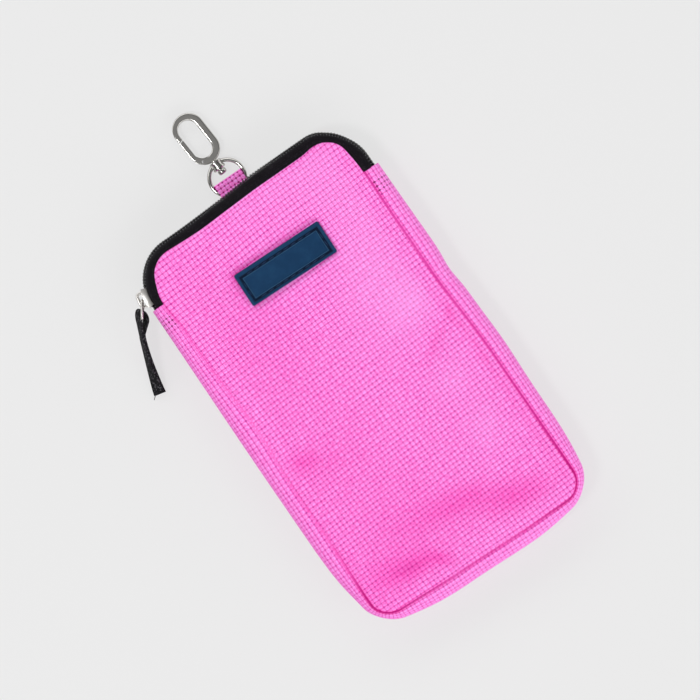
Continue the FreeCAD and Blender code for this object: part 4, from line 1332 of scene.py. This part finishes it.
def clip_piece(name, bm, body, metal, node, sharp=40):
    bmesh.ops.transform(bm, matrix=CLIP, verts=bm.verts)
    return dress(make_piece(name, bm, metal, sharp=sharp), body, "clip_metal", node)


def build_ring(metal):
    """The wire ring and its waisted boss."""
    circle = [(RING_RADIUS + x, y) for x, y in round_ring(RING_WIRE, 20)]
    ring = turned(circle, 96, Matrix.Rotation(math.pi / 2, 4, "X"), closed=True)
    half = (BOSS_HIGH - BOSS_LOW) / 2
    upper = [
        (BOSS_WAIST, BOSS_NARROW_TO * half),
        (BOSS_FLANGE, BOSS_WIDE_FROM * half),
        (BOSS_FLANGE, half - BOSS_EDGE),
        (BOSS_FLANGE - BOSS_EDGE, half),
        (BORE_RADIUS, half),
    ]
    boss = turned(both_ends(upper), 48, Matrix.Translation((0, BOSS_LOW + half, 0)), closed=True)
    return clip_piece("clip_ring", merge(ring, boss), "ring", metal, "swivel_ring")


def hook_ends(angle, outer_y, inner_y):
    """The outer and inner points of the hook's bar at an angle round one of its ends."""
    outer = Vector((HOOK_HALF_WIDE * math.cos(angle), outer_y + HOOK_HALF_WIDE * math.sin(angle), 0))
    inner = Vector((EYE_MIDDLE + EYE_RADIUS * math.cos(angle), inner_y + EYE_RADIUS * math.sin(angle), 0))
    return outer, inner


def bar_station(outer, inner, half_thick, level=0.0):
    return (outer + inner) / 2 + Vector((0, 0, level)), (outer - inner) / 2, Vector((0, 0, half_thick))


def crown_ends(angle):
    return hook_ends(angle, HOOK_TOP - HOOK_HALF_WIDE, EYE_HIGH - EYE_RADIUS)


def foot_ends(angle):
    return hook_ends(angle, HOOK_FOOT + HOOK_HALF_WIDE, EYE_LOW + EYE_RADIUS)


def gate_corner(rise):
    """The outer and inner points of the slanted joint between the gate and the nose."""
    outer = Vector((-HOOK_HALF_WIDE, GATE_TIP - GATE_SLANT + rise, 0))
    inner = Vector((EYE_MIDDLE - EYE_RADIUS, GATE_TIP + rise, 0))
    return outer, inner


def build_hook(metal):
    """The oval bar from its nose round to its forked foot, with the riveted stem."""
    stations = [bar_station(*gate_corner(GATE_CLEAR), HOOK_HALF_THICK)]
    for step in range(CROWN_STEPS + 1):
        stations.append(bar_station(*crown_ends(math.pi * (1 - step / CROWN_STEPS)), HOOK_HALF_THICK))
    for step in range(FOOT_STEPS + 1):
        stations.append(bar_station(*foot_ends(BAR_END * step / FOOT_STEPS), HOOK_HALF_THICK))
    bar = swept(stations, squared_ring(HOOK_SQUARENESS, BAR_POINTS))
    cheeks = []
    level = HOOK_HALF_THICK - CHEEK_THICK / 2
    for side in (-1, 1):
        fork = []
        for step in range(CHEEK_STEPS + 1):
            angle = CHEEK_FROM + (CHEEK_TO - CHEEK_FROM) * step / CHEEK_STEPS
            fork.append(bar_station(*foot_ends(angle), CHEEK_THICK / 2, side * level))
        cheeks.append(swept(fork, rounded_ring(1, 1, 0.3, steps=2)))
    profile = [(radius * MM, height * MM) for radius, height in RIVET_HEAD]
    profile.append((STEM_RADIUS, profile[-1][1]))
    profile += [(STEM_RADIUS, HOOK_FOOT + STEM_SUNK), (0, HOOK_FOOT + STEM_SUNK)]
    stem = turned(profile, 40, Matrix.Identity(4))
    return clip_piece("clip_hook", merge(bar, *cheeks, stem), "hook", metal, "hook_body")


def build_gate(metal):
    """The sprung bar and its eye."""
    stations = [bar_station(*gate_corner(0), GATE_HALF_THICK)]
    for step in range(GATE_STEPS + 1):
        outer, inner = foot_ends(math.pi + GATE_CURVE * step / GATE_STEPS)
        middle = (outer + inner) / 2
        half = (outer - inner) / 2 * (1 - GATE_NARROW * step / GATE_STEPS)
        stations.append(bar_station(middle + half, middle - half, GATE_HALF_THICK))
    bar = swept(stations, squared_ring(GATE_SQUARENESS, BAR_POINTS))
    edge = GATE_HALF_THICK - GATE_EYE_EDGE
    upper = [(GATE_EYE, edge), (GATE_EYE - GATE_EYE_EDGE, GATE_HALF_THICK), (0, GATE_HALF_THICK)]
    eye = turned(both_ends(upper), 32, gate_axis())
    return clip_piece("clip_gate", merge(bar, eye), "gate", metal, "gate")


def both_ends(upper):
    """A turned profile from its upper half, with the same half mirrored below it."""
    return [(radius, -height) for radius, height in reversed(upper)] + upper


def gate_axis():
    """Sets a turned shape's own Y axis on the gate's pin, in the clip's frame."""
    return Matrix.Translation(GATE_PIVOT) @ Matrix.Rotation(math.pi / 2, 4, "X")


def build_pin(steel):
    half = HOOK_HALF_THICK
    upper = [(PIN_RADIUS, half), (PIN_RADIUS * 0.7, half + PIN_DOME * 0.7), (0, half + PIN_DOME)]
    bm = turned(both_ends(upper), 24, CLIP @ gate_axis())
    return dress(make_piece("clip_pin", bm, steel, sharp=50), "hook", "steel", "gate_pin")


# Shader nodes


def linear(red, green, blue):
    """A linear colour from 0 to 255 display values."""
    values = []
    for value in (red, green, blue):
        share = value / 255
        values.append(share / 12.92 if share <= 0.04045 else ((share + 0.055) / 1.055) ** 2.4)
    return (*values, 1.0)


def add_node(tree, kind, *inputs, **settings):
    """Adds a node with its settings; each input is a value, or a socket to link from, or None."""
    made = tree.nodes.new(kind)
    for name, value in settings.items():
        setattr(made, name, value)
    for socket, value in zip(made.inputs, inputs):
        give(tree, socket, value)
    return made


def give(tree, socket, value):
    if isinstance(value, bpy.types.NodeSocket):
        tree.links.new(value, socket)
    elif value is not None:
        socket.default_value = value


def sums(tree, operation, *values):
    return add_node(tree, "ShaderNodeMath", *values, operation=operation).outputs[0]


def plus(tree, first, second):
    return sums(tree, "ADD", first, second)


def times(tree, first, second):
    return sums(tree, "MULTIPLY", first, second)


def arched(tree, value):
    """0 at each whole number and 1 half way between, in a row of round arches."""
    return sums(tree, "ABSOLUTE", sums(tree, "SINE", times(tree, value, math.pi)))


def ranged(tree, value, low, high, first=0.0, last=1.0):
    limits = (value, low, high, first, last)
    return add_node(tree, "ShaderNodeMapRange", *limits, interpolation_type="SMOOTHSTEP").outputs[0]


def vector_parts(tree, vector):
    return add_node(tree, "ShaderNodeSeparateXYZ", vector).outputs


def chance_at(tree, *place):
    """A random value of its own for each place."""
    spot = add_node(tree, "ShaderNodeCombineXYZ", *place).outputs[0]
    return add_node(tree, "ShaderNodeTexWhiteNoise", spot, noise_dimensions="3D").outputs[0]


def mixed(tree, share, first, second, blend="MIX"):
    made = add_node(tree, "ShaderNodeMix", data_type="RGBA", blend_type=blend)
    for number, value in ((0, share), (6, first), (7, second)):
        give(tree, made.inputs[number], value)
    return made.outputs[2]


def new_group(name, inputs, outputs):
    """An empty shader group with its named sockets, and its two end nodes."""
    group = bpy.data.node_groups.new(name, "ShaderNodeTree")
    for socket, kind in inputs:
        group.interface.new_socket(socket, in_out="INPUT", socket_type=kind)
    for socket in outputs:
        group.interface.new_socket(socket, in_out="OUTPUT", socket_type="NodeSocketFloat")
    return group, group.nodes.new("NodeGroupInput"), group.nodes.new("NodeGroupOutput")


def hole_chance(group, u, v):
    """How open each hole is: no two alike."""
    open_share = chance_at(group, sums(group, "ROUND", u), sums(group, "ROUND", v), 0.5)
    return ranged(group, open_share, 0.0, 1.0, 0.5, 1.0)


def open_weave_group():
    """Masks of an open weave from a place in cells."""
    group, start, end = new_group(
        "open_weave",
        [("Cells", "NodeSocketVector"), ("Threads", "NodeSocketFloat")],
        ["Hole", "Line", "Height", "Thread", "Over", "Chance"],
    )
    u, v, _ = vector_parts(group, start.outputs["Cells"])
    part_u = sums(group, "FRACT", u)
    part_v = sums(group, "FRACT", v)
    a = arched(group, part_u)
    b = arched(group, part_v)
    column = sums(group, "FLOOR", u)
    row = sums(group, "FLOOR", v)
    level = sums(group, "FLOORED_MODULO", plus(group, column, row), 2.0)
    across = add_node(group, "ShaderNodeMix", level, None, part_u, part_v).outputs[0]
    counted = times(group, across, start.outputs["Threads"])
    thread = arched(group, counted)
    both = plus(group, a, b)
    product = times(group, a, b)
    body = plus(group, times(group, both, WEAVE_BODY), times(group, product, WEAVE_CROWN))
    ridged = times(group, times(group, thread, product), 0.3)
    # Painted shade between the rows and columns of yarns
    between_rows = ranged(group, b, 0.0, 0.72, 1.0, 0.0)
    between_columns = ranged(group, a, 0.0, 0.65, 0.8, 0.0)
    # A line across each yarn's row where its threads part, also painted shade on the yarn's flank turned from
    # the light
    aside = sums(group, "ABSOLUTE", sums(group, "SUBTRACT", part_v, 0.62))
    split = ranged(group, aside, 0.0, 0.24, 0.32, 0.0)
    results = {
        "Hole": times(group, ranged(group, both, 0.3, 1.1, 1.0, 0.0), hole_chance(group, u, v)),
        "Line": sums(group, "MAXIMUM", sums(group, "MAXIMUM", between_rows, between_columns), split),
        "Height": plus(group, body, ridged),
        "Thread": thread,
        "Over": level,
        "Chance": chance_at(group, column, row, sums(group, "FLOOR", counted)),
    }
    for name, value in results.items():
        group.links.new(value, end.inputs[name])
    return group


def fine_rib_group():
    """Masks of a close ribbed weave, from a place in millimetres along and across the tape."""
    group, start, end = new_group(
        "fine_rib",
        [("Along", "NodeSocketFloat"), ("Across", "NodeSocketFloat"), ("Pitch", "NodeSocketFloat")],
        ["Height", "Shade"],
    )
    u = sums(group, "DIVIDE", start.outputs["Along"], start.outputs["Pitch"])
    v = sums(group, "DIVIDE", start.outputs["Across"], start.outputs["Pitch"])
    rib = arched(group, plus(group, u, times(group, sums(group, "FLOOR", v), 0.5)))
    row = arched(group, v)
    height = times(group, sums(group, "POWER", rib, 0.6), sums(group, "POWER", row, 0.5))
    group.links.new(height, end.inputs["Height"])
    group.links.new(ranged(group, height, 0.1, 0.95), end.inputs["Shade"])
    return group


def handling_group():
    """Faint smears and specks of handling, from a place in metres."""
    group, start, end = new_group(
        "handling", [("Place", "NodeSocketVector"), ("Scale", "NodeSocketFloat")], ["Smear", "Grain"]
    )
    place, scale = start.outputs["Place"], start.outputs["Scale"]
    coarse = add_node(group, "ShaderNodeTexNoise", place, None, scale, 4.0, 0.6)
    fine = add_node(group, "ShaderNodeTexNoise", place, None, times(group, scale, 14.0), 2.0, 0.5)
    group.links.new(ranged(group, coarse.outputs[0], 0.35, 0.7), end.inputs["Smear"])
    group.links.new(fine.outputs[0], end.inputs["Grain"])
    return group


def new_material(name, **sockets):
    """A material with one Principled shader whose plain values are set on its own sockets."""
    material = bpy.data.materials.new(name)
    material.use_nodes = True
    shader = material.node_tree.nodes["Principled BSDF"]
    for socket, value in sockets.items():
        shader.inputs[socket.replace("_", " ")].default_value = value
    return material, material.node_tree, shader


def place_group(tree, group, **inputs):
    made = add_node(tree, "ShaderNodeGroup", node_tree=group)
    for name, value in inputs.items():
        give(tree, made.inputs[name], value)
    return made.outputs


def own_value(tree, name, output="Fac"):
    return add_node(tree, "ShaderNodeAttribute", attribute_name=name).outputs[output]


def handled(tree, groups, scale):
    """The marks of handling on a piece, on its own coordinates."""
    place = add_node(tree, "ShaderNodeTexCoord").outputs["Object"]
    return place_group(tree, groups["handling"], Place=place, Scale=scale)


def finish(tree, shader, colour, roughness, height, strength, distance):
    """Gives a shader its colour, its roughness and the relief of a height."""
    bump = add_node(tree, "ShaderNodeBump", strength, distance * MM)
    give(tree, bump.inputs["Height"], height)
    sockets = {"Base Color": colour, "Roughness": roughness, "Normal": bump.outputs[0]}
    for name, value in sockets.items():
        give(tree, shader.inputs[name], value)


def dimmed(colour, share):
    return (*(share * value for value in colour[:3]), 1.0)


def grey(value):
    return (value, value, value, 1.0)


def pink_weave(groups):
    """Yarns of a few threads each, no two alike, with painted shade between them, in the holes, in hollows
    and in the seams' grooves, and painted light where the tone is pale.
    """
    cloth = {"Sheen_Weight": 0.02, "Sheen_Roughness": 0.5, "Specular_IOR_Level": 0.1}
    material, tree, shader = new_material("pink_weave", **cloth)
    cells = own_value(tree, "cells", "Vector")
    tone = own_value(tree, "tone")
    weave = place_group(tree, groups["open_weave"], Cells=cells, Threads=3.0)
    marks = handled(tree, groups, 105.0)
    chance = sums(tree, "MULTIPLY_ADD", weave["Chance"], 0.2, times(tree, weave["Over"], 0.1))
    # Painted light on each thread's crown and painted shade between threads, with random tone between yarns
    threads = sums(tree, "MULTIPLY_ADD", weave["Thread"], 0.28, chance)
    lit = plus(tree, threads, ranged(tree, marks["Grain"], 0.36, 0.64, 0.0, 0.65))
    yarn = mixed(tree, lit, linear(252, 108, 209), linear(255, 171, 247))
    # Painted shade in the lines between yarns
    lined = mixed(tree, times(tree, weave["Line"], 0.8), yarn, linear(246, 58, 182))
    # Holes: painted shade of the pouch's inside seen through them. They are darker and wider where the zip's
    # black tape lies behind the gusset's ends, and painted shade inside the tab's fold
    tape_and_shade_behind = vector_parts(tree, cells)[2]
    hole = mixed(tree, tape_and_shade_behind, linear(200, 14, 146), linear(136, 3, 92))
    opened = times(tree, weave["Hole"], sums(tree, "MULTIPLY_ADD", tape_and_shade_behind, 1.2, 1.0))
    woven = mixed(tree, sums(tree, "MINIMUM", opened, 1.0), lined, hole)
    # Painted light where the tone is above 0, painted shade where it is below, darkest in the seams' grooves
    pale = mixed(tree, ranged(tree, tone, 0.0, 2.0, 0.0, 0.5), woven, linear(255, 184, 252))
    deep = mixed(tree, ranged(tree, tone, 0.0, -2.0, 0.0, 0.8), pale, (0.97, 0.26, 0.67, 1), "MULTIPLY")
    seam = mixed(tree, ranged(tree, tone, -1.3, -2.3, 0.0, 0.9), deep, linear(198, 14, 132))
    rough = ranged(tree, marks["Grain"], 0.2, 0.8, 0.62, 0.8)
    grained = plus(tree, weave["Height"], times(tree, marks["Grain"], 0.25))
    finish(tree, shader, seam, rough, grained, 0.3, 0.2)
    return material


def sheet_place(tree):
    """A wrapped sheet's place in millimetres, along and across it."""
    return vector_parts(tree, own_value(tree, "cells", "Vector"))[:2]


def swept_place(tree):
    """A swept piece's place in millimetres, along and across it."""
    return own_value(tree, "along"), own_value(tree, "across")


def ribbed_cloth(name, groups, place, pitch, low, high, strength, fuzz=0.0):
    """A close woven tape with painted shade between its ribs and painted light on their tops, with a few pale
    fibres on it.
    """
    material, tree, shader = new_material(name, Specular_IOR_Level=0.08)
    along, across = place(tree)
    rib = place_group(tree, groups["fine_rib"], Along=along, Across=across, Pitch=pitch)
    marks = handled(tree, groups, 90.0)
    marked = mixed(tree, times(tree, marks["Smear"], 0.35), high, low)
    ribbed = mixed(tree, rib["Shade"], low, marked)
    fuzzy = mixed(tree, ranged(tree, marks["Grain"], 0.53, 0.68, 0.0, fuzz), ribbed, linear(150, 148, 154))
    rough = ranged(tree, marks["Grain"], 0.2, 0.8, 0.6, 0.85)
    finish(tree, shader, fuzzy, rough, rib["Height"], strength, 0.15)
    return material


def coil_plastic(groups):
    material, tree, shader = new_material("coil_plastic", Specular_IOR_Level=0.8)
    marks = handled(tree, groups, 200.0)
    colour = mixed(tree, marks["Smear"], linear(20, 18, 21), linear(40, 37, 42))
    rough = ranged(tree, marks["Grain"], 0.2, 0.8, 0.16, 0.3)
    finish(tree, shader, colour, rough, marks["Grain"], 0.15, 0.05)
    return material


def moulded_rubber(groups):
    """Dull rubber, with painted shade in its groove and at the foot of its side, and paler along its raised
    edges.
    """
    material, tree, shader = new_material("label_rubber", Specular_IOR_Level=0.12)
    marks = handled(tree, groups, 160.0)
    shade = own_value(tree, "across")
    field = mixed(tree, marks["Smear"], linear(14, 52, 86), linear(21, 60, 95))
    # Paler where the shade is below 0, on the raised edges; painted shade where it is above 0
    marked = mixed(tree, ranged(tree, shade, 0.0, -1.0, 0.0, 0.6), field, linear(56, 94, 126))
    dark = mixed(tree, ranged(tree, shade, 0.0, 1.0, 0.0, 0.8), marked, linear(0, 8, 36))
    rough = ranged(tree, marks["Grain"], 0.2, 0.8, 0.42, 0.62)
    finish(tree, shader, dark, rough, marks["Grain"], 0.2, 0.06)
    return material


def sewing_thread(name, low, high):
    """Twisted thread, with painted shade between its strands."""
    material, tree, shader = new_material(name, Specular_IOR_Level=0.2)
    place = add_node(tree, "ShaderNodeTexCoord").outputs["Object"]
    lay = add_node(tree, "ShaderNodeTexWave", place, 900.0, 1.0, bands_direction="DIAGONAL").outputs[1]
    finish(tree, shader, mixed(tree, lay, low, high), 0.55, lay, 0.5, 0.08)
    return material


def plated_metal(name, groups, colour, low, high):
    """Polished plating with faint smears."""
    material, tree, shader = new_material(name, Metallic=1.0)
    marks = handled(tree, groups, 90.0)
    smeared = mixed(tree, times(tree, marks["Smear"], 0.5), colour, dimmed(colour, 0.8))
    rough = ranged(tree, marks["Smear"], 0.0, 1.0, low, high)
    finish(tree, shader, smeared, rough, marks["Grain"], 0.06, 0.03)
    return material


def make_materials():
    groups = {
        "open_weave": open_weave_group(),
        "fine_rib": fine_rib_group(),
        "handling": handling_group(),
    }
    tape = (sheet_place, 0.8, linear(2, 1, 3), linear(31, 26, 33), 0.8, 0.04)
    webbing = (swept_place, 0.95, linear(0, 0, 1), linear(36, 35, 39), 1.0, 0.3)
    binding = (swept_place, 0.5, linear(190, 70, 155), linear(235, 120, 205), 0.5)
    return {
        "weave": pink_weave(groups),
        "tape": ribbed_cloth("zip_tape", groups, *tape),
        "webbing": ribbed_cloth("webbing", groups, *webbing),
        "binding": ribbed_cloth("binding", groups, *binding),
        "coil": coil_plastic(groups),
        "rubber": moulded_rubber(groups),
        "thread": sewing_thread("label_thread", linear(14, 34, 68), linear(26, 54, 92)),
        # Pale grey thread: partly the stitches' own colour, partly painted highlight for the glints on the
        # coil's turns
        "coil_thread_and_glints": sewing_thread("coil_thread_and_glints", linear(64, 62, 68), linear(124, 122, 128)),
        "nickel": plated_metal("clip_nickel", groups, linear(206, 204, 200), 0.1, 0.2),
        "slider": plated_metal("slider_nickel", groups, linear(222, 219, 215), 0.3, 0.42),
        "steel": plated_metal("drawn_steel", groups, linear(170, 170, 170), 0.25, 0.4),
    }


# Stage


def seen_rays(tree):
    """1 for rays that show a surface as it is: the camera's, and those of reflections and glass."""
    path = add_node(tree, "ShaderNodeLightPath")
    shown = sums(tree, "MAXIMUM", path.outputs["Is Camera Ray"], path.outputs["Is Glossy Ray"])
    return sums(tree, "MAXIMUM", shown, path.outputs["Is Transmission Ray"])


def build_floor():
    """A pale floor that stays one tone to the eye, but for the part of its light that a shadow takes."""
    bm = bmesh.new()
    bmesh.ops.create_grid(bm, x_segments=1, y_segments=1, size=FLOOR_HALF)
    bmesh.ops.translate(bm, vec=(0, 0, -FLOOR_LOW), verts=bm.verts)
    material = bpy.data.materials.new("floor")
    material.use_nodes = True
    tree = material.node_tree
    tree.nodes.clear()
    shown = seen_rays(tree)
    pale = linear(234, 234, 234)
    matt = add_node(tree, "ShaderNodeBsdfDiffuse", mixed(tree, shown, pale, dimmed(pale, FLOOR_SHADOW)))
    glow = add_node(tree, "ShaderNodeEmission", dimmed(pale, 1 - FLOOR_SHADOW), shown)
    both = add_node(tree, "ShaderNodeAddShader", matt.outputs[0], glow.outputs[0])
    end = add_node(tree, "ShaderNodeOutputMaterial")
    tree.links.new(both.outputs[0], end.inputs["Surface"])
    floor = make_piece("floor", bm, material)


def build_world():
    """A room with bright end walls, a dark ceiling paler in its middle, and a bright horizon on one side."""
    world = bpy.data.worlds.new("room")
    scene.world = world
    world.use_nodes = True
    tree = world.node_tree
    tree.nodes.clear()
    direction = add_node(tree, "ShaderNodeTexCoord").outputs["Generated"]
    dark = grey(ROOM_DARK)
    _, ahead, height = vector_parts(tree, direction)
    wall = mixed(tree, ranged(tree, sums(tree, "ABSOLUTE", ahead), 0.25, 0.7), dark, grey(WALL_BRIGHT))
    fill = add_node(tree, "ShaderNodeVectorMath", direction, FILL_SIDE, operation="DOT_PRODUCT")
    horizon = mixed(tree, ranged(tree, fill.outputs["Value"], 0.1, 0.8), dark, grey(HORIZON_BRIGHT))
    walls = mixed(tree, ranged(tree, height, 0.26, 0.46), horizon, wall)
    ceiling = mixed(tree, ranged(tree, height, 0.68, 0.78), walls, dark)
    sky = mixed(tree, ranged(tree, height, 0.93, 0.96), ceiling, grey(CEILING_MIDDLE))
    background = add_node(tree, "ShaderNodeBackground", sky, 1.0)
    end = add_node(tree, "ShaderNodeOutputWorld")
    tree.links.new(background.outputs[0], end.inputs["Surface"])


def add_lamp(name, spot, size, energy):
    """A soft square lamp aimed at the pouch."""
    light = bpy.data.lights.new(name, "AREA")
    light.size = size
    light.energy = energy
    lamp = bpy.data.objects.new(name, light)
    lamp.location = spot
    lamp.rotation_euler = (-Vector(spot)).to_track_quat("-Z", "Y").to_euler()
    scene.collection.objects.link(lamp)


def build_camera():
    """Straight above the pouch, turned so that its top leans left."""
    off = (Vector((PHOTO_SIZE, PHOTO_SIZE)) / 2 - PHOTO_ORIGIN) * PHOTO_MM_PER_PIXEL * MM
    turn = Matrix.Rotation(PHOTO_TURN, 3, "Z")
    spot = turn @ Vector((off.x, -off.y, 0))
    camera = bpy.data.cameras.new("camera")
    field = PHOTO_SIZE * PHOTO_MM_PER_PIXEL * MM
    camera.lens = camera.sensor_width * CAMERA_HIGH / field
    camera.clip_start = 0.05
    camera.clip_end = 100.0
    eye = bpy.data.objects.new("camera", camera)
    eye.location = (spot.x, spot.y, FRONT + CAMERA_HIGH)
    eye.rotation_euler = (0, 0, PHOTO_TURN)
    scene.collection.objects.link(eye)
    scene.camera = eye


def build_stage():
    scene.view_settings.view_transform = "Standard"
    build_floor()
    build_world()
    add_lamp("key", LAMP_SPOT, LAMP_SIZE, LAMP_WATTS)
    build_camera()


def build_pouch(materials):
    build_panels(materials["weave"])
    build_gusset(materials["weave"])
    build_bindings(materials["binding"])
    for side, half in ((1, "front"), (-1, "back")):
        build_tape(f"tape_{half}", side, materials["tape"])
        build_coil(f"coil_{half}", side, materials["coil"])
    build_coil_stitches(materials["coil_thread_and_glints"])
    build_label(materials["rubber"])
    build_stitches(materials["thread"])
    build_tab(materials["weave"])


def build_zip_pull(materials):
    build_slider(materials["slider"])
    build_puller(materials["slider"])
    build_strap(materials["webbing"])
    build_loose_thread(materials["webbing"])


def build_clip(materials):
    build_ring(materials["nickel"])
    build_hook(materials["nickel"])
    build_gate(materials["nickel"])
    build_pin(materials["steel"])
    spring = frame["nodes"]["gate_spring"].data
    spring.materials.clear()
    spring.materials.append(materials["steel"])


materials = make_materials()
build_stage()
build_pouch(materials)
build_zip_pull(materials)
build_clip(materials)
